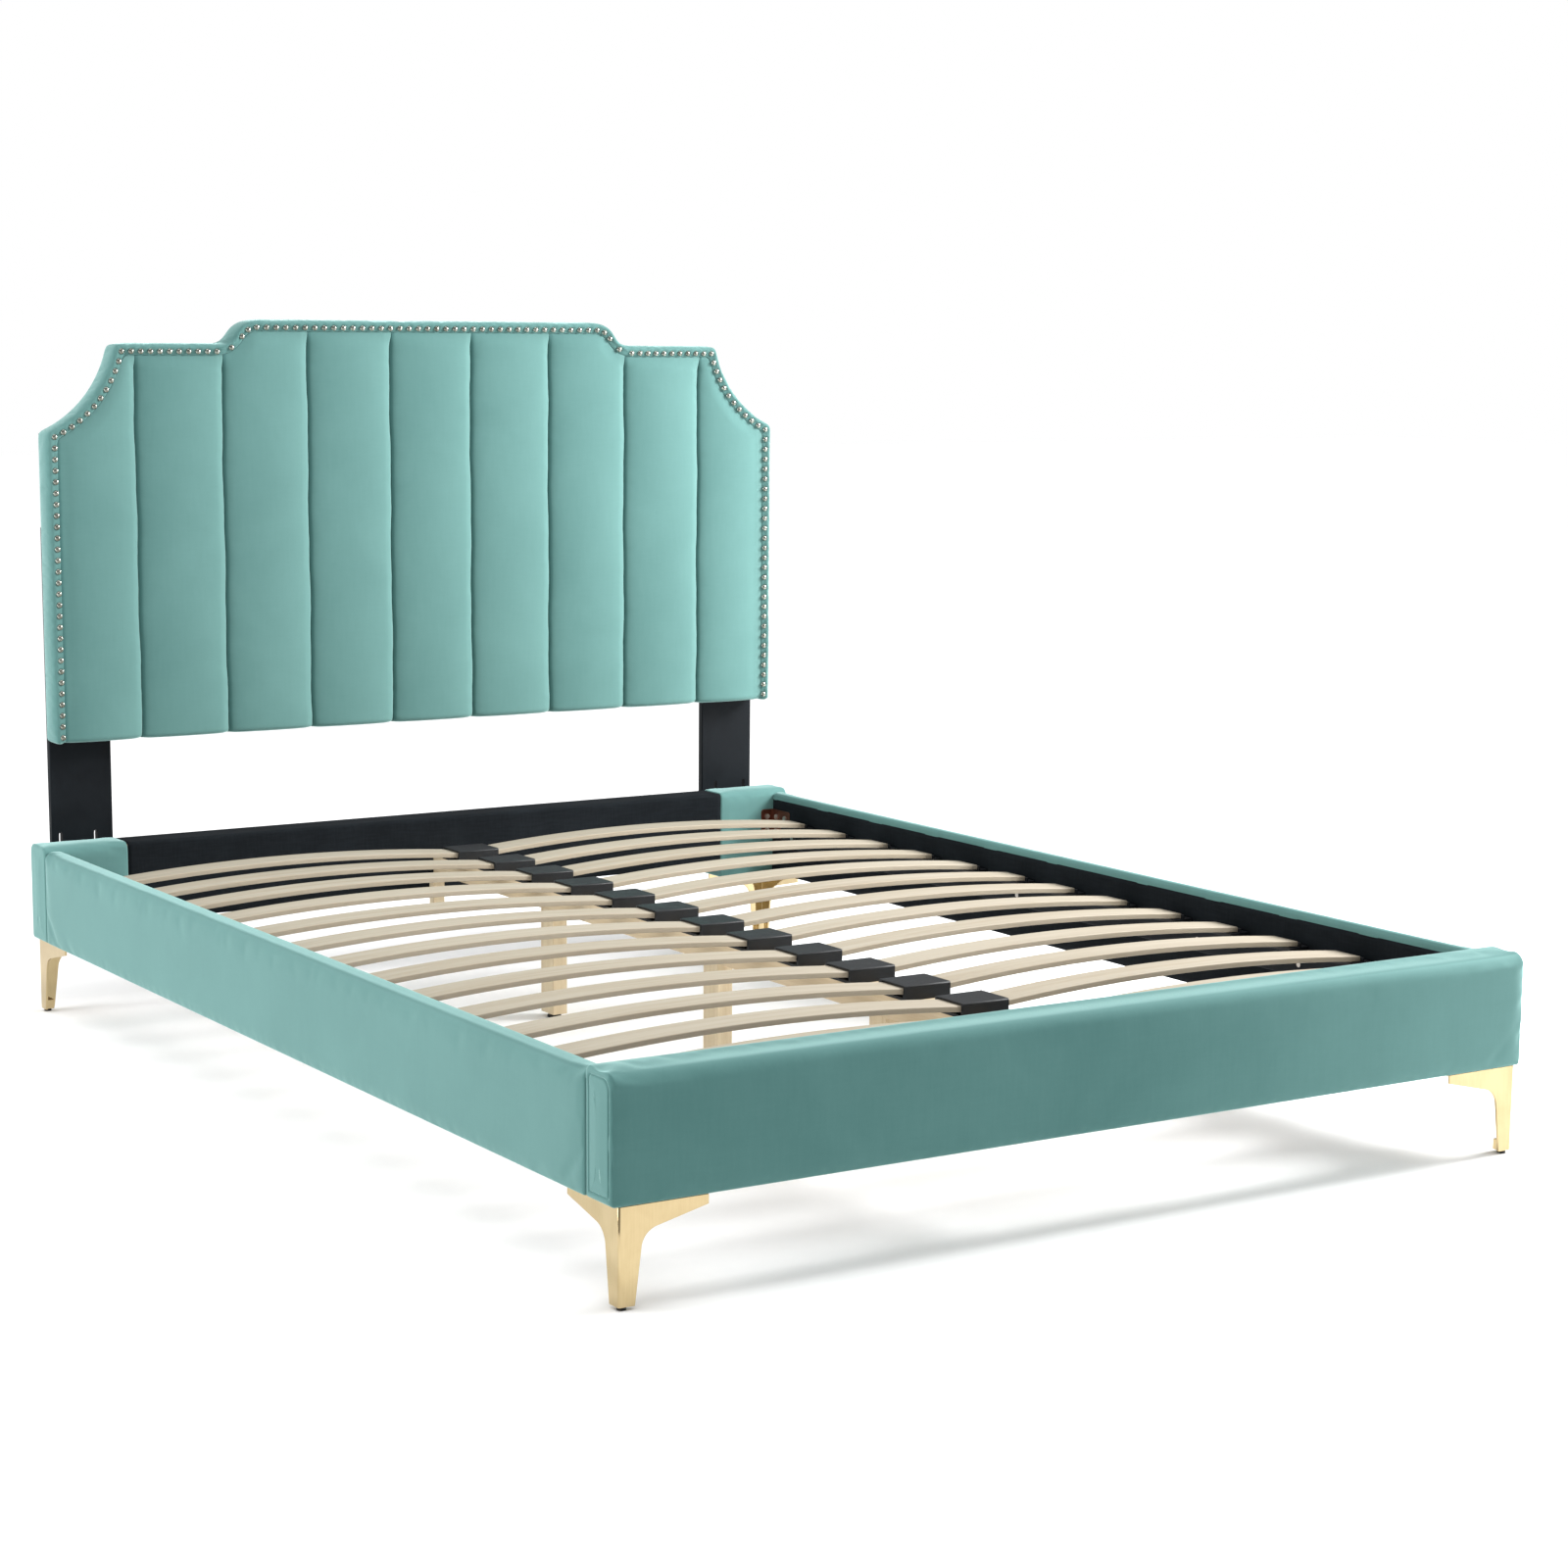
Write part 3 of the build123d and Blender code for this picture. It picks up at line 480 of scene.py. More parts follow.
# %% Slat veneer
def make_slat_veneer():
    """Pale laminated strip: face grain on top, and the stack of plies along its edges."""
    material, tree, shader, bump = start_finish("slat_wood", {"Specular IOR Level": 0.4}, 0.2, 0.0005)
    pattern = use_pattern(tree, shader, bump, grain_group, {
        "Pale": (0.40, 0.357, 0.285, 1), "Dark": (0.32, 0.272, 0.202, 1),
        "Stretch": (0.05, 1.0, 1.0), "Band Scale": 34.0})
    board = add_node(tree, "ShaderNodeAttribute", attribute_name="board")
    tree.links.new(board.outputs["Fac"], pattern.inputs["Board"])
    ply = add_node(tree, "ShaderNodeAttribute", attribute_name="ply").outputs["Fac"]
    layers = add_node(tree, "ShaderNodeMath", {0: ply, 1: 6.2832}, operation="MULTIPLY")
    wave = add_node(tree, "ShaderNodeMath", {0: layers.outputs[0]}, operation="SINE")
    dark_layer = fit_range(tree, wave.outputs[0], -0.2, 0.6, 0.0, 0.45)
    edge = add_node(tree, "ShaderNodeAttribute", attribute_name="edge").outputs["Fac"]
    share = add_node(tree, "ShaderNodeMath", {0: dark_layer, 1: edge}, operation="MULTIPLY")
    banded = blend_colours(tree, share.outputs[0], pattern.outputs["Colour"], (0.40, 0.31, 0.19, 1))
    tree.links.new(banded, shader.inputs["Base Color"])
    return material


slat_veneer = make_slat_veneer()

# %% Metals, plastic and lacquered board
def make_hard(name, clean, handled, smooth, dull, metallic, grain_scale=400.0, stretch=(1, 1, 0.06),
              bump_strength=0.08, specular=0.5):
    """A hard finish with handling marks; metallic is 1 for bare or plated metal."""
    material, tree, shader, bump = start_finish(name, {
        "Metallic": metallic, "Specular IOR Level": specular}, bump_strength, 0.0004)
    use_pattern(tree, shader, bump, handling_group, {
        "Clean": clean, "Handled": handled, "Smooth": smooth, "Dull": dull,
        "Hairline Stretch": stretch, "Grain Scale": grain_scale})
    return material


gold = make_hard("gold_metal", (0.56, 0.44, 0.25, 1), (0.50, 0.385, 0.21, 1), 0.06, 0.13, 1.0)
nail_metal = make_hard("nail_metal", (0.33, 0.35, 0.31, 1), (0.20, 0.21, 0.18, 1),
                       0.16, 0.24, 1.0, 900.0)
zinc = make_hard("zinc_steel", (0.62, 0.60, 0.56, 1), (0.46, 0.43, 0.40, 1), 0.28, 0.48, 1.0)
bronze_steel = make_hard("bracket_steel", (0.20, 0.075, 0.045, 1), (0.13, 0.05, 0.035, 1),
                         0.30, 0.5, 0.9)
caps_plastic = make_hard("black_plastic", (0.006, 0.007, 0.0085, 1), (0.010, 0.0115, 0.0135, 1),
                         0.42, 0.60, 0.0, 700.0, (1, 1, 1), 0.25, 0.3)
black_board = make_hard("black_board", (0.0055, 0.0075, 0.0100, 1), (0.008, 0.0105, 0.0135, 1),
                        0.5, 0.65, 0.0, 260.0, (1, 1, 0.08), 0.15, 0.12)
print("finishes:", len(bpy.data.materials))

# %% [markdown]
# ## The headboard's outline
#
# The headboard's edge is six stretches on each side: an upright side, a hollow scallop, a
# short level shoulder, an S-shaped step made of two arcs, and half of the crown. Moving the
# outline in by an inset moves every stretch along its own normal, so rows of nails, the rim
# and the ends of the channels all follow the same line at their own distance from it.

# %% Headboard sizes
rim_low, rim_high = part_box("headboard_border")
half_width, crown_top, frame_back = rim_high.x, rim_high.z, rim_high.y
lower_edge = rim_low.z
pad_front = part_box("headboard_channel_5")[0].y
board_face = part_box("headboard_panel")[0].y
nail_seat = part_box("nailhead_trim")[1].y
shoulder_top = 1.233
scallop_radius = 0.2193
scallop_middle = (0.8563, 1.2791)
step_outer, step_inner = 0.445, 0.365
channel_pitch = 0.173
channel_count = 9
edge_inset = 0.0175
nail_inset = 0.012
print("headboard half width", round(half_width, 3),
      "from", round(lower_edge, 3), "to", round(crown_top, 3))

# %% Outline function
def line(start, end, count):
    """Points evenly spaced from start towards end, without the end."""
    share = np.arange(count)[:, None] / count
    return np.asarray(start) + share * (np.asarray(end) - np.asarray(start))


def arc(middle, radius, first, last, count):
    """Middle plus radius times (cosine, sine), the angle going evenly from first towards last."""
    angle = first + (last - first) * np.arange(count) / count
    return np.asarray(middle) + radius * np.stack([np.cos(angle), np.sin(angle)], axis=-1)


def half_outline(inset, bottom, counts):
    """(x, z) of the right half, from the foot of its side to just short of the crown's middle.
    A line, an arc about the scallop's middle, a line, two opposite arcs and a line."""
    side_x = half_width - inset
    middle_x, middle_z = scallop_middle
    radius = scallop_radius + inset
    level_z = shoulder_top - inset
    tip_z = middle_z - np.sqrt(radius ** 2 - (middle_x - side_x) ** 2)
    shoulder_x = middle_x - np.sqrt(radius ** 2 - (middle_z - level_z) ** 2)
    tip_angle = np.arctan2(tip_z - middle_z, side_x - middle_x)
    shoulder_angle = np.arctan2(level_z - middle_z, shoulder_x - middle_x)
    run, rise = (step_outer - step_inner) / 2, (crown_top - shoulder_top) / 2
    turn = 2 * np.arctan2(rise, run)
    step_radius = run / np.sin(turn)
    quarter = np.pi / 2
    side_count, scallop_count, shoulder_count, hollow_count, round_count, crown_count = counts
    return np.concatenate([
        line((side_x, bottom), (side_x, tip_z), side_count),
        arc(scallop_middle, radius, tip_angle, shoulder_angle, scallop_count),
        line((shoulder_x, level_z), (step_outer, level_z), shoulder_count),
        arc((step_outer, shoulder_top + step_radius), step_radius + inset,
            -quarter, -quarter - turn, hollow_count),
        arc((step_inner, crown_top - step_radius), step_radius - inset,
            quarter - turn, quarter, round_count),
        line((step_inner, crown_top - inset), (0, crown_top - inset), crown_count),
    ])


def soften(points, reach=2.0):
    """Round the corners: each point becomes the bell-weighted mean of its neighbours."""
    span = np.arange(-6, 7)
    weights = np.exp(-0.5 * (span / reach) ** 2)
    longer = np.pad(points, ((6, 6), (0, 0)), mode="reflect", reflect_type="odd")
    moved = [weight * longer[6 + step:6 + step + len(points)] for step, weight in zip(span, weights)]
    return sum(moved) / weights.sum()


outline_counts = (192, 72, 66, 16, 16, 122)


def full_outline(inset, bottom):
    """The whole line, from the foot of the left side over the crown to the foot of the right."""
    half = half_outline(inset, bottom, outline_counts)
    crown_middle = np.array([[0.0, crown_top - inset]])
    return soften(np.concatenate([half * (-1, 1), crown_middle, half[::-1]]))


def top_edge(inset):
    """The line's upper part, from the middle of the crown (x = 0) outwards to the side's tip."""
    whole = full_outline(inset, lower_edge)
    middle, side_points = len(whole) // 2, outline_counts[0]
    return whole[middle:len(whole) - side_points]


edge_line = full_outline(0.0, lower_edge)
print("edge line:", len(edge_line), "points")

# %% [markdown]
# ### The nails
#
# Each nailhead is a low grey-metal dome with a thin rolled lip. It is repeated 142 times,
# so one dome has only six rings of fourteen points. The nails sit at even spacing along
# every stretch of the line, with one nail exactly on each corner.

# %% Nailheads
nail_radius = 0.0057
nail_height = 0.0036
nail_spacings = (27, 11, 10, 2, 2)
nail_gaps_on_top = 37


def nail_places():
    """(x, z) of every nail: equal steps on each stretch, then equal steps along the crown."""
    half = half_outline(nail_inset, lower_edge + nail_inset, nail_spacings + (1,))[:-1]
    pitch = 2 * step_inner / nail_gaps_on_top
    crown_x = step_inner - pitch * np.arange((nail_gaps_on_top + 1) // 2)
    crown = np.stack([crown_x, np.full_like(crown_x, crown_top - nail_inset)], axis=-1)
    half = np.concatenate([half, crown])
    return np.concatenate([half, half * (-1, 1)])


def dome_profile():
    """Radius and height from the rim to the top: a lip, then a quarter of an ellipse."""
    angle = np.radians([0, 22, 42, 60, 78])
    radius = np.concatenate([[0.86, 1.0], 0.97 * np.cos(angle)])
    height = np.concatenate([[0.0, 0.10], 0.16 + 0.84 * np.sin(angle)])
    return radius * nail_radius, height * nail_height


nails = nail_places()


def make_nailheads():
    """All the domes as one piece: the profile turned about each nail's own axis."""
    radius, height = dome_profile()
    around = np.radians(np.arange(14) * 360 / 14)
    rng = np.random.default_rng(7)
    tilt = rng.normal(0, 0.015, (len(nails), 2))
    across = radius[:, None] * np.cos(around)
    up = radius[:, None] * np.sin(around)
    x = nails[:, 0, None, None] + across
    z = nails[:, 1, None, None] + up
    lean_out = tilt[:, 0, None, None] * across + tilt[:, 1, None, None] * up
    y = nail_seat + 0.0005 - height[:, None] + lean_out
    domes = np.stack([x, np.broadcast_to(y, x.shape), z], axis=-1)
    rings, points_round = domes.shape[1:3]
    one = tube_faces(rings, points_round)
    faces = [[number + dome * rings * points_round for number in face]
             for dome in range(len(nails)) for face in one]
    return make_piece("nailheads", domes, faces, "headboard", nail_metal)


nailheads = make_nailheads()
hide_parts("nailhead_trim")
print(len(nails), "nailheads")

# %% [markdown]
# ### How padding is shaped here
#
# Foam under velvet has three habits. It crowns between its seams, it rolls over a board's
# edge on a round, and it is pulled down wherever a stitch or a nail holds it. Each pad is
# first given those habits by formula, a little slimmer than it should be. A cloth
# simulation then blows it up from inside for twenty frames with gravity off, which puts
# the small uneven swells of real upholstery on top of the formula.

# %% Shaping helpers
def ease(share):
    """A soft step from 0 to 1: 3 t squared minus 2 t cubed."""
    share = np.clip(share, 0, 1)
    return share * share * (3 - 2 * share)


def roll(distance, radius):
    """How far a surface falls back over a rounded edge, at a distance in from the edge."""
    reach = radius - np.clip(distance, 0, radius)
    return radius - np.sqrt(radius ** 2 - reach ** 2)


def nearest(points, others):
    """Distance from each (x, z) point to the nearest of some others."""
    flat = points.reshape(-1, 1, 2)
    gaps = [np.sqrt(((part - others) ** 2).sum(-1)).min(-1) for part in np.array_split(flat, 16)]
    return np.concatenate(gaps).reshape(points.shape[:-1])


def envelope_faces(rows, columns):
    """Faces of two grids, one in front of the other, joined round their borders."""
    front = grid_faces(rows, columns)
    number = np.arange(rows * columns).reshape(rows, columns)
    border = np.concatenate([number[0, :-1], number[:-1, -1], number[-1, :0:-1], number[:0:-1, 0]])
    ahead = np.roll(border, -1)
    behind = rows * columns
    wall = np.stack([border, ahead, ahead + behind, border + behind], axis=-1)
    return np.concatenate([front, front[:, ::-1] + behind, wall])


def inflate(pads, frames=20):
    """Fill all the pads at once. Each is (piece, mask of held points, farthest move).
    A point's move is limited softly: its length becomes most times tanh(length / most)."""
    scene = bpy.context.scene
    for piece, held, _ in pads:
        stitched = piece.vertex_groups.new(name="stitched")
        stitched.add(np.flatnonzero(held).tolist(), 1.0, "REPLACE")
        filling = piece.modifiers.new("filling", "CLOTH")
        filling.point_cache.frame_end = frames
        cloth = filling.settings
        cloth.quality = 4
        cloth.mass = 0.3
        cloth.tension_stiffness = 12
        cloth.compression_stiffness = 12
        cloth.shear_stiffness = 4
        cloth.bending_stiffness = 0.4
        cloth.shrink_min = -0.012
        cloth.use_pressure = True
        cloth.uniform_pressure_force = 4.0
        cloth.effector_weights.gravity = 0.0
        cloth.vertex_group_mass = "stitched"
    for step in range(1, frames + 1):
        scene.frame_set(step)
    view = bpy.context.evaluated_depsgraph_get()
    for piece, _, most in pads:
        start = np.empty(len(piece.data.vertices) * 3, np.float32)
        end = np.empty_like(start)
        piece.data.vertices.foreach_get("co", start)
        filled = piece.evaluated_get(view)
        filled.to_mesh().vertices.foreach_get("co", end)
        filled.to_mesh_clear()
        move = (end - start).reshape(-1, 3)
        length = np.linalg.norm(move, axis=-1, keepdims=True) + 1e-9
        settled = start.reshape(-1, 3) + move / length * most * np.tanh(length / most)
        swell = round(float(length.max()) * 1000, 1)
        print(piece.name, "swelled by up to", swell, "mm before the limit")
        piece.modifiers.clear()
        piece.vertex_groups.clear()
        piece.data.vertices.foreach_set("co", settled.astype(np.float32).ravel())
        piece.data.update()
    scene.frame_set(1)


def smooth_out(piece):
    """One level of subdivision, the same on screen as in a render."""
    finer = piece.modifiers.new("smooth", "SUBSURF")
    finer.levels = 1
    finer.render_levels = 1


crown_share = 0.72
print("pads start at", crown_share, "of their height")

# %% [markdown]
# ### The nine channels
#
# A channel is an upright pad between two seams. Across its width it follows a flattened
# arch, so it leaves the seam steeply and runs nearly level in the middle. Towards the nail
# line the arch dies away within three centimetres, and at the bottom the velvet rolls under
# the board. Seams wander by a millimetre, and the stitches draw small ripples beside them.

# %% Channel pads
field_trough = nail_seat + 0.0035
seam_depth = 0.0095
pad_rise = field_trough - pad_front + 0.0025
top_line = top_edge(edge_inset)
columns_across = 31
rows_up = 122
rows_under = 6


def seam_x(number, z):
    """A seam's place: its even share of the width, plus two slow waves a millimetre high."""
    if number in (0, channel_count):
        return np.full_like(z, np.sign(number - 1) * (half_width - edge_inset))
    phase = 1.7 * number
    wander = np.sin(z * 20.3 + phase) + 0.6 * np.sin(z * 53.0 + 2.3 * phase)
    return (number - channel_count / 2) * channel_pitch + 0.0009 * wander


def make_channel(number):
    """A closed pad: the face rises from the bottom roll to the nail line, with a flat back."""
    share = (1 - np.cos(np.linspace(0, np.pi, columns_across))) / 2
    rise = np.linspace(0, 1, rows_up)
    rise = (0.55 * rise + 0.45 * (1 - np.cos(np.pi * rise)) / 2)[:, None]
    left, right_side = seam_x(number - 1, rise), seam_x(number, rise)
    nominal_x = left[0] + (right_side[0] - left[0]) * share
    top_z = np.interp(np.abs(nominal_x), top_line[:, 0], top_line[:, 1])
    from_seam = np.minimum(share, 1 - share) * channel_pitch
    bottom_z = lower_edge + 0.0012 * np.exp(-(from_seam / 0.010) ** 2)
    z = bottom_z + (top_z - bottom_z) * rise
    left, right_side = seam_x(number - 1, z), seam_x(number, z)
    x = left + (right_side - left) * share

    flat = np.stack([x, z], axis=-1)
    off_middle = np.abs(2 * share - 1)
    arch = 0.48 * (1 - off_middle ** 2) + 0.52 * (1 - off_middle ** 7) ** 0.5
    ripple = (np.sin(z * 330 + number) + np.sin(z * 191 + 2 * number) + np.sin(z * 97)) / 3
    ripple = 0.0009 * ripple * np.exp(-(from_seam / 0.014) ** 2) * (from_seam > 0)
    height = ((seam_depth + pad_rise) * crown_share * arch - seam_depth + ripple)
    height = height * ease((nearest(flat, edge_line) - edge_inset) / 0.030)
    pulled = 0.0011 * np.exp(-(nearest(flat, nails) / 0.012) ** 2)
    y = field_trough - height + pulled + roll(z - bottom_z, 0.009)

    back_in = np.linspace(0, 1, rows_under, endpoint=False)[:, None]
    under_y = frame_back - 0.0005 + (y[0] - frame_back + 0.0005) * back_in
    under = np.stack([np.broadcast_to(x[0], under_y.shape), under_y,
                      np.broadcast_to(bottom_z, under_y.shape)], axis=-1)
    outer = np.concatenate([under, np.stack([x, y, z], axis=-1)])
    inner = outer.copy()
    inner[..., 1] = np.maximum(outer[..., 1], board_face - 0.0005)
    inner[..., 2] = np.maximum(outer[..., 2], lower_edge + 0.0055)
    rows = rows_under + rows_up
    pad = make_piece(f"channel_pad_{number}", np.concatenate([outer, inner]),
                     envelope_faces(rows, columns_across), "headboard", velvet)
    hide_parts(f"headboard_channel_{number}")
    from_left, from_right = share * channel_pitch, (1 - share) * channel_pitch
    # Painted light and shade across each channel: the tone rises from left to right as painted shading
    # from the lamp on the right, a narrow painted shadow lies in the crease along the left seam, and a
    # painted highlight runs along the rolled edge just short of the right seam; the small sine by
    # channel number is the cloth's own tone.
    nap_and_shade = 0.67 + 0.04 * np.sin(2.4 * number) + 0.22 * (2 * share - 1)
    nap_and_shade = nap_and_shade - 0.9 * np.exp(-(from_left / 0.005) ** 2)
    nap_and_shade = nap_and_shade + 0.5 * np.exp(-((from_right - 0.007) / 0.004) ** 2)
    store(pad, "nap_and_shade", np.broadcast_to(nap_and_shade, (2, rows, columns_across)))
    held = np.ones((2, rows, columns_across), bool)
    held[0, rows_under + 2:-1, 1:-1] = False
    return pad, held.ravel(), 0.0055


channels = [make_channel(number) for number in range(1, channel_count + 1)]
print("channel pads of", len(channels[0][0].data.vertices), "points each")

# %% [markdown]
# ### The rim
#
# Outside the nails a padded rim turns over the edge and wraps the sides of the board. Its
# section is a smooth closed loop given by a few control points, each a distance in from
# the edge and a depth, and the loop is carried along the outline. Every nail sinks the
# velvet a little, so the rim swells softly between them.

# %% Rim pad
def spline_loop(points, per_span):
    """A closed B-spline: each point is a cubic-weighted mean of its four nearest controls."""
    points = np.asarray(points, float)
    t = np.arange(per_span) / per_span
    weights = np.stack([(1 - t) ** 3, 3 * t ** 3 - 6 * t ** 2 + 4,
                        -3 * t ** 3 + 3 * t ** 2 + 3 * t + 1, t ** 3]) / 6
    neighbours = np.stack([np.roll(points, 1 - step, axis=0) for step in range(4)])
    return np.einsum("kt,kpc->ptc", weights, neighbours).reshape(-1, 2)


def make_rim():
    """Carry the rim's section (inset, depth behind the nail seat) along the outline."""
    section = spline_loop([
        (0.0210, 0.0150), (0.0195, 0.0050), (0.0165, 0.0022), (0.0120, 0.0012), (0.0085, -0.0008),
        (0.0050, -0.0024), (0.0012, -0.0010), (-0.0010, 0.0050), (-0.0012, 0.0250),
        (-0.0006, 0.0480), (0.0008, 0.0580), (0.0060, 0.0598), (0.0085, 0.0520),
        (0.0100, 0.0330), (0.0205, 0.0250)], 2)
    lines = np.stack([full_outline(inset, lower_edge) for inset in section[:, 0]], axis=1)
    depth = np.broadcast_to(nail_seat + section[:, 1], lines.shape[:2])
    from_end = np.minimum(np.arange(len(lines)), np.arange(len(lines))[::-1]) * 0.003
    drawn_in = roll(from_end, 0.007)[:, None]
    middle_y = nail_seat + 0.028
    depth = middle_y + (depth - middle_y) * (1 - drawn_in / 0.033)
    middle_x = np.sign(lines[..., :1].mean(1)) * (half_width - 0.009)
    across = np.where(drawn_in > 0, middle_x + (lines[..., 0] - middle_x) * (1 - drawn_in / 0.012),
                      lines[..., 0])
    front = ease((nail_seat + 0.012 - depth) / 0.010)
    between = np.cos(np.arange(len(lines)) * 0.9)[:, None]
    dimple = 0.0016 * np.exp(-(nearest(lines, nails) / 0.0075) ** 2)
    depth = depth + front * (dimple + 0.00015 * between)
    points = np.stack([across, depth, lines[..., 1]], axis=-1)
    rim = make_piece("rim_pad", points, tube_faces(*points.shape[:2]), "headboard",
                     velvet)
    store(rim, "nap_and_shade", np.full(len(rim.data.vertices), 0.5))
    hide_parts("headboard_border")
    free = (section[:, 0] < 0.0095) & (section[:, 1] < 0.050)
    held = np.ones(points.shape[:2], bool)
    held[6:-6, free] = False
    return rim, held.ravel(), 0.0025


rim = make_rim()
print("rim pad of", len(rim[0].data.vertices), "points")

# %% [markdown]
# ## The padded rails
#
# A rail is a bar with a rounded section. The section is a closed outline whose corners each
# have their own radius, and the bar carries it from end to end. At each end the section is
# drawn in on a quarter circle and then shrinks across the end face, where a sewn seam runs
# just behind the corner. The velvet laps over the inner top edge and stops at the lining.

# %% Section and bar
def unit(vector):
    """The same direction, one metre long."""
    return vector / np.linalg.norm(vector)


def rounded_loop(corners, radii, step):
    """A closed outline through corners; each arc blends its two spokes by sines."""
    corners = np.asarray(corners, float)
    arcs = []
    share = np.linspace(0, 1, 7)[:, None]
    for index, radius in enumerate(radii):
        corner = corners[index]
        back = unit(corners[index - 1] - corner)
        ahead = unit(corners[(index + 1) % len(corners)] - corner)
        half = np.arccos(back @ ahead) / 2
        middle = corner + unit(back + ahead) * radius / np.sin(half)
        first = corner + back * radius / np.tan(half) - middle
        last = corner + ahead * radius / np.tan(half) - middle
        turn = np.pi - 2 * half
        swept = first * np.sin((1 - share) * turn) + last * np.sin(share * turn)
        arcs.append(middle + swept / np.sin(turn))
    parts = []
    for index, here in enumerate(arcs):
        start, end = here[-1], arcs[(index + 1) % len(arcs)][0]
        count = max(1, round(np.linalg.norm(end - start) / step))
        parts += [here[:-1], line(start, end, count)]
    return np.concatenate(parts)


def bar_points(section, start, end, radius, step, seam_in=None):
    """Rings (station, around, 3): along the bar first, then the section's two directions.
    Inset rings scale the section about its middle by one minus inset over half its size."""
    low, high = section.min(0), section.max(0)
    middle, half = (low + high) / 2, (high - low) / 2
    face = np.linspace(0.86 * half.min(), radius, 6)
    groove = np.zeros_like(face)
    if seam_in:
        face = np.sort(np.concatenate([face, seam_in + 0.0011 * np.arange(-3, 4)]))[::-1]
        groove = 0.0022 * np.exp(-((face - seam_in) / 0.0011) ** 2)
    dome = -0.0018 * ease((face - radius) / half.min())
    quarter = np.radians(np.linspace(15, 90, 6))
    inset = np.concatenate([face, radius * (1 - np.sin(quarter))])
    along = np.concatenate([dome + groove, radius * (1 - np.cos(quarter))])
    run = end - start - 2 * radius
    count = round(run / step)
    middle_run = start + radius + run * np.arange(1, count) / count
    station = np.concatenate([start + along, middle_run, end - along[::-1]])
    inset = np.concatenate([inset, np.zeros(count - 1), inset[::-1]])
    rings = middle + (section - middle) * (1 - inset[:, None, None] / half)
    along = np.broadcast_to(station[:, None, None], rings.shape[:2] + (1,))
    return np.concatenate([along, rings], axis=-1)


print("rail tools ready")

# %% Foot rail
foot_low, foot_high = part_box("foot_rail_upholstery")
lining_low, lining_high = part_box("foot_rail_lining")
rail_top, rail_bottom = foot_high.z, foot_low.z


def make_foot_rail():
    """Front, top and ends in one cover, with a generous round along the top of the front."""
    section = rounded_loop([(foot_low.y, rail_bottom), (foot_low.y, rail_top),
                            (foot_high.y, rail_top), (foot_high.y, lining_high.z),
                            (lining_low.y, lining_high.z - 0.001), (lining_low.y, rail_bottom)],
                           (0.005, 0.020, 0.009, 0.0004, 0.0004, 0.002), 0.009)
    points = bar_points(section, foot_low.x, foot_high.x, 0.006, 0.010, seam_in=0.0105)
    pad = make_piece("foot_rail_pad", points, tube_faces(*points.shape[:2]), "bed_frame",
                     velvet)
    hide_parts("foot_rail_upholstery")
    x, y, z = np.moveaxis(points, -1, 0)
    front = y < foot_low.y + 0.012
    end = np.abs(x) > foot_high.x - 0.006
    # Painted light and shade: the front face is darker at its left end and lighter towards the right as
    # painted shading, the top is set to the darkest tone as painted shade against the overhead lamp,
    # and the ends take a lighter even tone.
    store(pad, "nap_and_shade", np.where(front, 0.18 + 0.6 * ease((x - 0.1) / 0.7), np.where(end, 0.62, 0.0)))
    held = (z < rail_bottom + 0.004) | (y > foot_high.y - 0.014) | (np.abs(x) > foot_high.x - 0.001)
    return pad, held.ravel(), 0.003


foot_rail = make_foot_rail()
print("foot rail pad of", len(foot_rail[0].data.vertices), "points")

# %% Side rails
def make_side_rail(word, side):
    """A slimmer bar along the bed, rounded most along its outer top edge."""
    low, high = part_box(f"side_rail_upholstery_{word}")
    inner_low, inner_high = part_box(f"side_rail_lining_{word}")
    outside = max(abs(low.x), abs(high.x))
    inside = min(abs(low.x), abs(high.x))
    behind_lining = max(abs(inner_low.x), abs(inner_high.x))
    section = rounded_loop([(outside, low.z), (outside, high.z), (inside, high.z),
                            (inside, inner_high.z), (behind_lining, inner_high.z - 0.001),
                            (behind_lining, low.z)],
                           (0.004, 0.016, 0.009, 0.0004, 0.0004, 0.002), 0.009)
    bar = bar_points(section, low.y, high.y, 0.005, 0.011)
    points = np.stack([side * bar[..., 1], bar[..., 0], bar[..., 2]], axis=-1)
    pad = make_piece(f"side_rail_pad_{word}", points, tube_faces(*points.shape[:2]), "bed_frame",
                     velvet)
    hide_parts(f"side_rail_upholstery_{word}")
    across, y, z = bar[..., 1], bar[..., 0], bar[..., 2]
    on_top = z > high.z - 0.004
    # Painted shade: the top is set darker than the side, and the side is painted darker towards the
    # head end.
    store(pad, "nap_and_shade", np.where(on_top, 0.25, 0.54 - 0.14 * ease((y - low.y) / (high.y - low.y))))
    held = (z < low.z + 0.004) | (across < inside + 0.013) | (y < low.y + 0.004) | (y > high.y - 0.004)
    return pad, held.ravel(), 0.0025


side_rails = [make_side_rail("left", -1), make_side_rail("right", 1)]
print("side rail pads of", len(side_rails[0][0].data.vertices), "points")

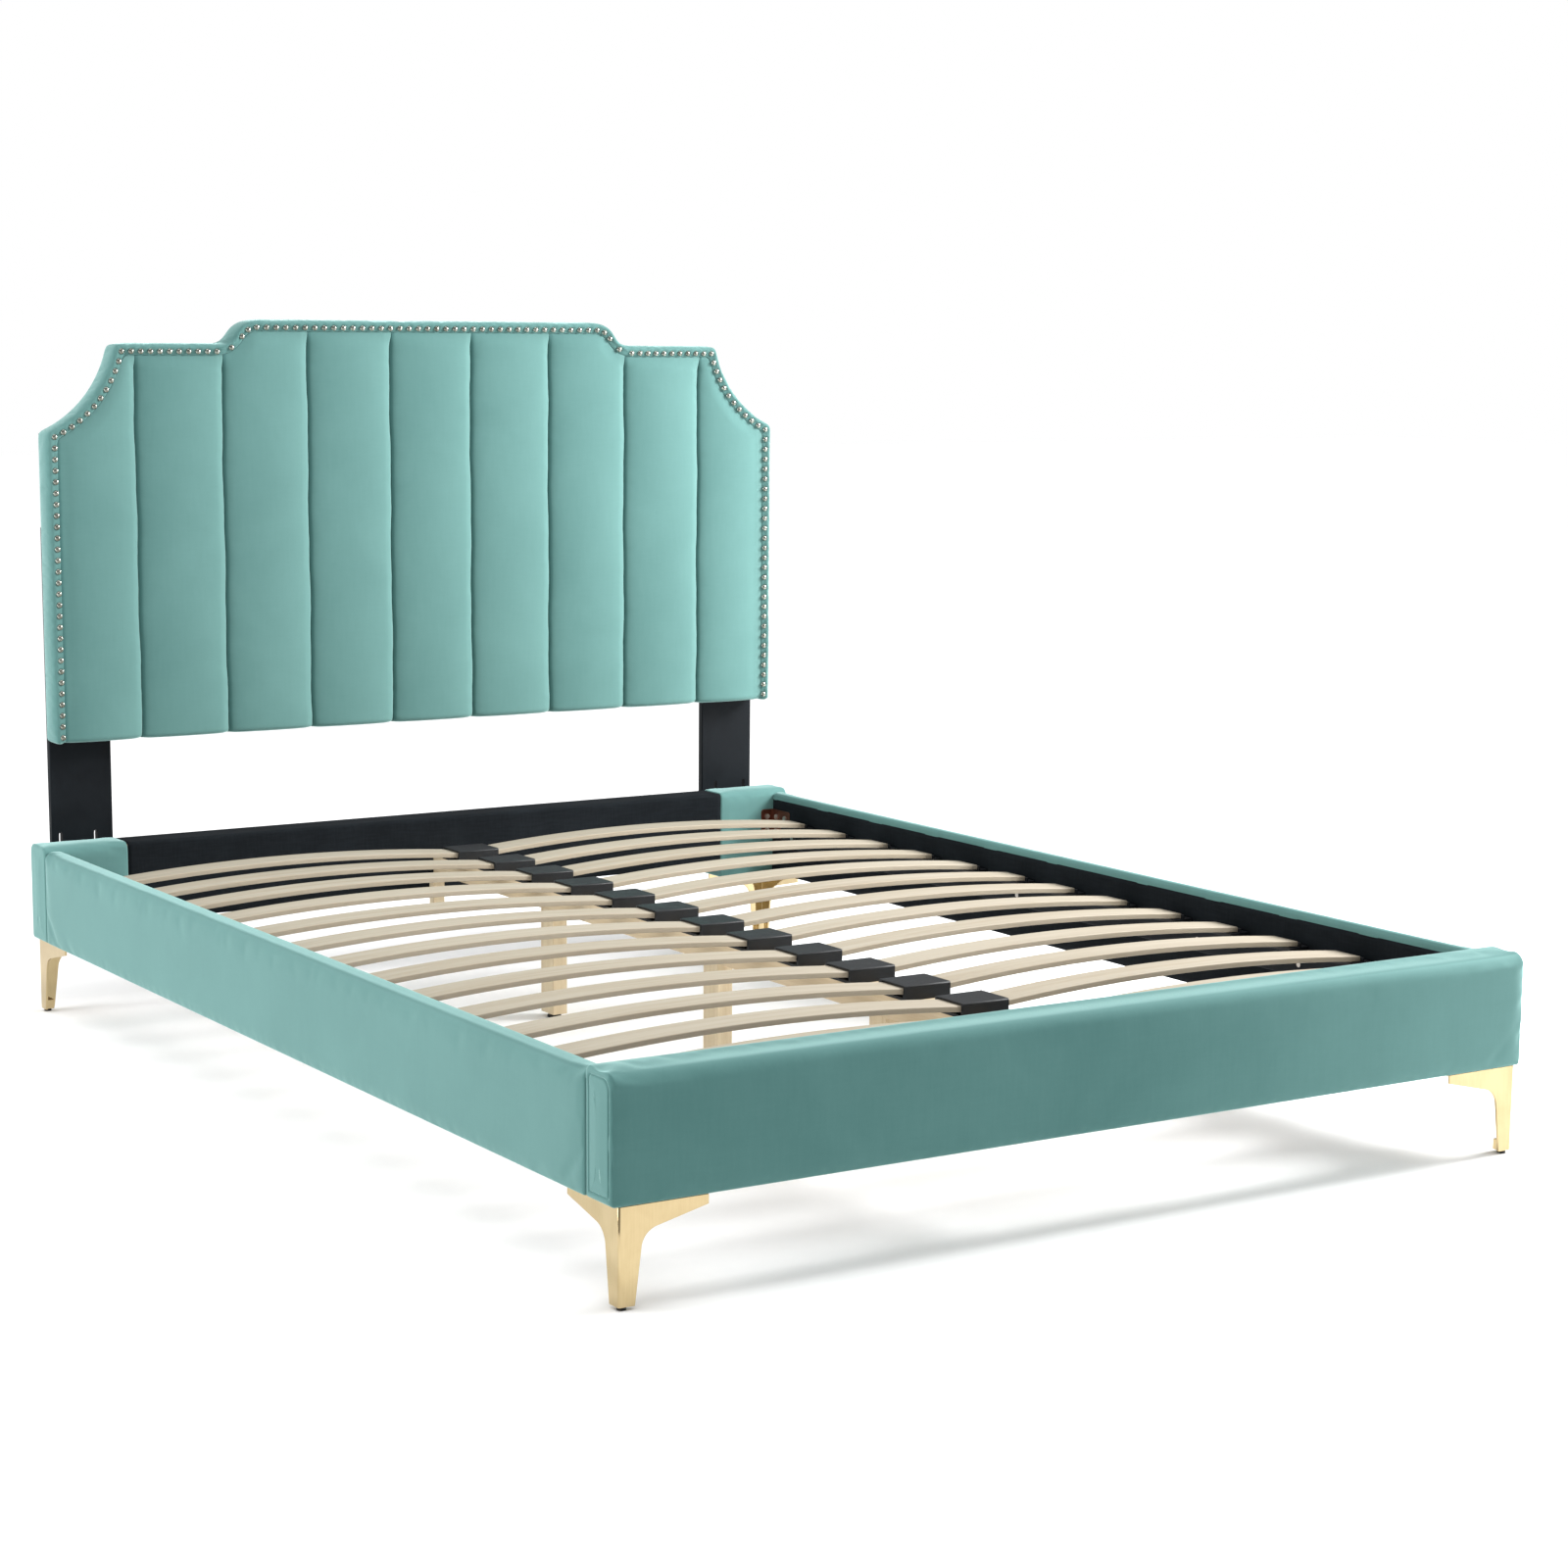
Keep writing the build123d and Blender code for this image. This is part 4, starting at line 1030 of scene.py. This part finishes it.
# %% Head rail sleeves
def make_sleeve(word, side):
    """A short velvet sleeve, rounded at the top, that closes one end of the head rail."""
    low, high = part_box(f"head_rail_sleeve_{word}")
    inner_x, outer_x = min(abs(low.x), abs(high.x)), max(abs(low.x), abs(high.x))
    section = rounded_loop([(low.y, low.z), (low.y, high.z), (high.y, high.z), (high.y, low.z)],
                           (0.006, 0.013, 0.013, 0.006), 0.009)
    bar = bar_points(section, inner_x, outer_x, 0.005, 0.009)
    points = bar * (side, 1, 1)
    pad = make_piece(f"head_sleeve_pad_{word}", points, tube_faces(*points.shape[:2]), "bed_frame",
                     velvet)
    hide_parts(f"head_rail_sleeve_{word}")
    store(pad, "nap_and_shade", np.full(bar.shape[:2], 0.6))
    at_ends = (bar[..., 0] < inner_x + 0.006) | (bar[..., 0] > outer_x - 0.001)
    held = (bar[..., 2] < low.z + 0.004) | at_ends
    return pad, held.ravel(), 0.002


sleeves = [make_sleeve("left", -1), make_sleeve("right", 1)]
print("sleeve pads of", len(sleeves[0][0].data.vertices), "points")

# %% Fill every pad
pads = channels + [rim, foot_rail] + side_rails + sleeves
inflate(pads)
for pad, _, _ in pads:
    if pad.name != "rim_pad":
        smooth_out(pad)
print(len(pads), "pads filled")

# %% [markdown]
# ## Black cloth
#
# The insides of the rails, the middle of the head rail and the back of the headboard are
# closed with thin black bonded cloth, stretched and stapled. Each sheet is one grid with
# millimetre-high tension ripples, made solid by a modifier.

# %% Cloth helpers
def add_thickness(piece, thickness):
    """Give a sheet its thickness, on the side away from its normals."""
    solid = piece.modifiers.new("thickness", "SOLIDIFY")
    solid.thickness = thickness
    solid.offset = -1.0


def tension_ripples(along, across, phase):
    """Shallow slanting waves, strongest near the two stapled edges (across is 0 to 1)."""
    slanted = (np.sin(along * 31 + 2.2 * across + phase)
               + 0.7 * np.sin(along * 67 - 3.0 * across + 2 * phase))
    return slanted * (0.35 + 0.65 * (2 * across - 1) ** 2)


# %% Rail linings
def make_side_lining(word, side):
    """Cloth over a side rail's inner face, from end to end."""
    low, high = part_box(f"side_rail_lining_{word}")
    face_x = min(abs(low.x), abs(high.x))
    along, rise = np.meshgrid(np.linspace(low.y + 0.001, high.y - 0.001, 260), np.linspace(0, 1, 18),
                              indexing="ij")
    depth = face_x - 0.0004 - 0.0005 * tension_ripples(along, rise, 1.0 + side)
    points = np.stack([side * depth, along, low.z + 0.001 + (high.z - low.z) * rise], axis=-1)
    faces = grid_faces(260, 18)
    sheet = make_piece(f"side_lining_{word}", points, faces if side < 0 else faces[:, ::-1],
                       "bed_frame", lining, closed=False)
    add_thickness(sheet, 0.0009)
    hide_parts(f"side_rail_lining_{word}")


def make_foot_lining():
    """Cloth over the foot rail's inner face."""
    along, rise = np.meshgrid(np.linspace(lining_low.x + 0.001, lining_high.x - 0.001, 200),
                              np.linspace(0, 1, 18), indexing="ij")
    depth = lining_high.y + 0.0004 + 0.0005 * tension_ripples(along, rise, 0.4)
    up = lining_low.z + 0.001 + (lining_high.z - lining_low.z) * rise
    points = np.stack([along, depth, up], axis=-1)
    sheet = make_piece("foot_lining", points, grid_faces(200, 18)[:, ::-1], "bed_frame",
                       lining, closed=False)
    add_thickness(sheet, 0.0009)
    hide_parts("foot_rail_lining")


make_side_lining("left", -1)
make_side_lining("right", 1)
make_foot_lining()

# %% Head rail cover
def make_head_cover():
    """Black cloth once round the head rail: a soft-cornered section carried along it."""
    low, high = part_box("head_rail_cover")
    section = rounded_loop([(low.y, low.z), (low.y, high.z), (high.y, high.z), (high.y, low.z)],
                           (0.005, 0.007, 0.007, 0.005), 0.010)
    along = np.linspace(low.x, high.x, 150)[:, None]
    middle = section.mean(0)
    swell = 1 + 0.004 * np.sin(along * 17) * np.sin(along * 5 + 1)
    y = middle[0] + (section[:, 0] - middle[0]) * swell
    z = np.broadcast_to(section[:, 1], y.shape)
    points = np.stack([np.broadcast_to(along, y.shape), y, z], axis=-1)
    sheet = make_piece("head_rail_cloth", points, grid_faces(*points.shape[:2], wrap=True),
                       "bed_frame", lining, closed=False)
    add_thickness(sheet, 0.0012)
    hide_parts("head_rail_cover")


make_head_cover()

# %% Headboard back cloth
def make_back_cloth():
    """Cloth over the back of the headboard, cut to its outline and drawn tight."""
    low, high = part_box("headboard_rear_cover")
    cut = top_edge(half_width - high.x)
    share, rise = np.meshgrid(np.linspace(-1, 1, 170), np.linspace(0, 1, 60), indexing="ij")
    x = high.x * share
    top_z = np.interp(np.abs(x), cut[:, 0], cut[:, 1])
    z = low.z + (top_z - low.z) * rise
    hollow = 0.0006 * tension_ripples(x, rise, 2.1)
    points = np.stack([x, high.y - 0.0003 + hollow * (1 - share ** 8), z], axis=-1)
    sheet = make_piece("headboard_back_cloth", points, grid_faces(170, 60)[:, ::-1], "headboard",
                       lining, closed=False)
    add_thickness(sheet, 0.0009)
    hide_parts("headboard_rear_cover")


make_back_cloth()
print("five black sheets laid")

# %% [markdown]
# ## Bowed slats
#
# The slats are strips of laminated beech, bent upwards so that they spring. Each one is a
# rounded rectangle carried along a shallow arc. Three attributes go with its points: which
# board it is, so that no two have the same grain, how deep a point lies in the stack of
# plies, and whether it is on a cut edge, where those plies show.

# %% Slats
slat_rows = 13
slat_width = 0.060
slat_thickness = 0.009
slat_crown = 0.019


def make_slats(word, side):
    """Thirteen arcs: the top's height falls from the crown by r minus sqrt(r squared - x squared)."""
    low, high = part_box(f"slats_{word}")
    inner, outer = min(abs(low.x), abs(high.x)), max(abs(low.x), abs(high.x))
    pitch = (high.y - low.y - slat_width) / (slat_rows - 1)
    row_y = low.y + slat_width / 2 + pitch * np.arange(slat_rows)
    half = (outer - inner) / 2
    radius = (half ** 2 + slat_crown ** 2) / (2 * slat_crown)
    section = rounded_loop([(-slat_width / 2, -slat_thickness), (-slat_width / 2, 0),
                            (slat_width / 2, 0), (slat_width / 2, -slat_thickness)],
                           (0.0012, 0.0018, 0.0018, 0.0012), 0.012)
    along = np.linspace(-half, half, 42)
    rng = np.random.default_rng(20 + side)
    slump = rng.uniform(-0.0012, 0.0, slat_rows)
    skew = rng.normal(0, 0.0008, slat_rows)
    fall = radius - np.sqrt(radius ** 2 - along ** 2)
    x = np.broadcast_to(side * (inner + half + along)[None, :, None], (slat_rows, 42, len(section)))
    y = row_y[:, None, None] + section[:, 0] + skew[:, None, None] * (along / half)[:, None]
    bowed = high.z - fall * (1 + slump[:, None] / slat_crown) + slump[:, None]
    z = bowed[:, :, None] + section[:, 1]
    z = z + 0 * y
    points = np.stack([x, y + 0 * x, z], axis=-1)
    one = tube_faces(42, len(section))
    each = 42 * len(section)
    faces = [[number + row * each for number in face] for row in range(slat_rows) for face in one]
    slats = make_piece(f"bowed_slats_{word}", points, faces, "bed_frame", slat_veneer)
    board = np.repeat(rng.uniform(0, 40, slat_rows), each)
    ply = np.broadcast_to(-section[:, 1] / slat_thickness * 5, x.shape).ravel()
    edge = np.broadcast_to(np.abs(section[:, 0]) > slat_width / 2 - 0.0008, x.shape).ravel()
    for label, values in (("board", board), ("ply", ply), ("edge", edge)):
        store(slats, label, values)
    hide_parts(f"slats_{word}")
    return slats


slats = [make_slats("left", -1), make_slats("right", 1)]
print("slats of", len(slats[0].data.polygons), "faces a side")

# %% [markdown]
# ## Parts that are right as they are
#
# Timber, brackets, bolts, glides and legs keep the frame's own shapes. Real edges are never
# perfectly sharp, so the corner legs, brackets, struts, slat holders, centre slat caps and
# corner leg glides are welded, their flat faces are joined, and a small bevel catches the
# light along their edges; the other parts keep their edges as they are. Timber under cloth is
# drawn in a little instead, so that cloth pulled tight over its corners never rubs through to it.

# %% Dress the frame's own parts
def crisp_edges(part, width):
    """Weld the loose triangles, merge the flat ones and bevel what is left."""
    weld = part.modifiers.new("weld", "WELD")
    weld.merge_threshold = 0.00002
    flatten = part.modifiers.new("flatten", "DECIMATE")
    flatten.decimate_type = "DISSOLVE"
    flatten.angle_limit = np.radians(1.0)
    bevel = part.modifiers.new("edges", "BEVEL")
    bevel.width = width
    bevel.segments = 2
    bevel.limit_method = "ANGLE"
    bevel.angle_limit = np.radians(40)
    bevel.harden_normals = True


def dress(part_name, finish, edge_width=0.0):
    """Give one of the frame's parts a finish, and rounded edges if a width is given."""
    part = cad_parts[part_name]
    part.data.materials.clear()
    part.data.materials.append(finish)
    if edge_width:
        crisp_edges(part, edge_width)


def sink(part_name, depth):
    """Draw a timber's surface in a little, so that pulled cloth never rubs through to it."""
    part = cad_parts[part_name]
    weld = part.modifiers.new("weld", "WELD")
    weld.merge_threshold = 0.00002
    pull = part.modifiers.new("under_padding", "DISPLACE")
    pull.mid_level = 0.0
    pull.strength = -depth


corner_words = ("foot_left", "foot_right", "head_left", "head_right")
sides = ("left", "right")
dressed = [(f"corner_leg_{word}", gold, 0.0006) for word in corner_words]
dressed += [(f"corner_bracket_{word}", bronze_steel, 0.0006) for word in corner_words]
dressed += [(f"headboard_strut_{word}", black_board, 0.0012) for word in sides]
dressed += [(f"slat_ledger_{word}", black_board, 0.0) for word in sides]
dressed += [(f"slat_end_holders_{word}", caps_plastic, 0.0006) for word in sides]
dressed += [(f"centre_leg_{number}", leg_timber, 0.0) for number in (1, 2, 3)]
dressed += [(f"levelling_glide_{number}", caps_plastic, 0.0) for number in (1, 2, 3)]
dressed += [(f"side_rail_core_{word}", carcass_board, 0.0) for word in sides]
dressed += [(name, carcass_board, 0.0) for name in
            ("headboard_panel", "headboard_frame", "foot_rail_core", "head_rail_core")]
dressed += [(name, zinc, 0.0) for name in
            ("headboard_strut_bolts", "headboard_slot_bolts", "centre_leg_bolts", "corner_bolts",
             "corner_leg_screws", "ledger_screws")]
dressed += [("centre_beam", beam_timber, 0.0), ("beam_cleats", leg_timber, 0.0),
            ("centre_slat_caps", caps_plastic, 0.0008), ("corner_leg_glides", caps_plastic, 0.0005)]
for part_name, finish, edge_width in dressed:
    dress(part_name, finish, edge_width)
timber_sink = 0.0025
for part_name in ("foot_rail_core", "head_rail_core", "side_rail_core_left",
                  "side_rail_core_right", "headboard_frame"):
    sink(part_name, timber_sink)
print(len(dressed), "parts of the frame dressed")

# %% [markdown]
# ## The floor
#
# The floor is a plain pale sheet that reaches far behind the bed. It belongs to the studio,
# not to the bed.

# %% Lay the floor
def make_floor():
    """One large square just under the feet."""
    reach = 30.0
    corners = [(-reach, -reach, 0), (reach, -reach, 0), (reach, reach, 0), (-reach, reach, 0)]
    mesh = bpy.data.meshes.new("floor")
    mesh.from_pydata(corners, [], [(0, 1, 2, 3)])
    material, tree, shader, bump = start_finish(
        "floor_paint", {"Specular IOR Level": 0.1}, 0.02, 0.001)
    use_pattern(tree, shader, bump, handling_group, {
        "Clean": (0.93, 0.93, 0.93, 1), "Handled": (0.92, 0.92, 0.92, 1), "Smooth": 0.7, "Dull": 0.8,
        "Hairline Stretch": (1, 1, 1), "Grain Scale": 60.0})
    mesh.materials.append(material)
    floor = bpy.data.objects.new("floor", mesh)
    bpy.context.scene.collection.objects.link(floor)


make_floor()
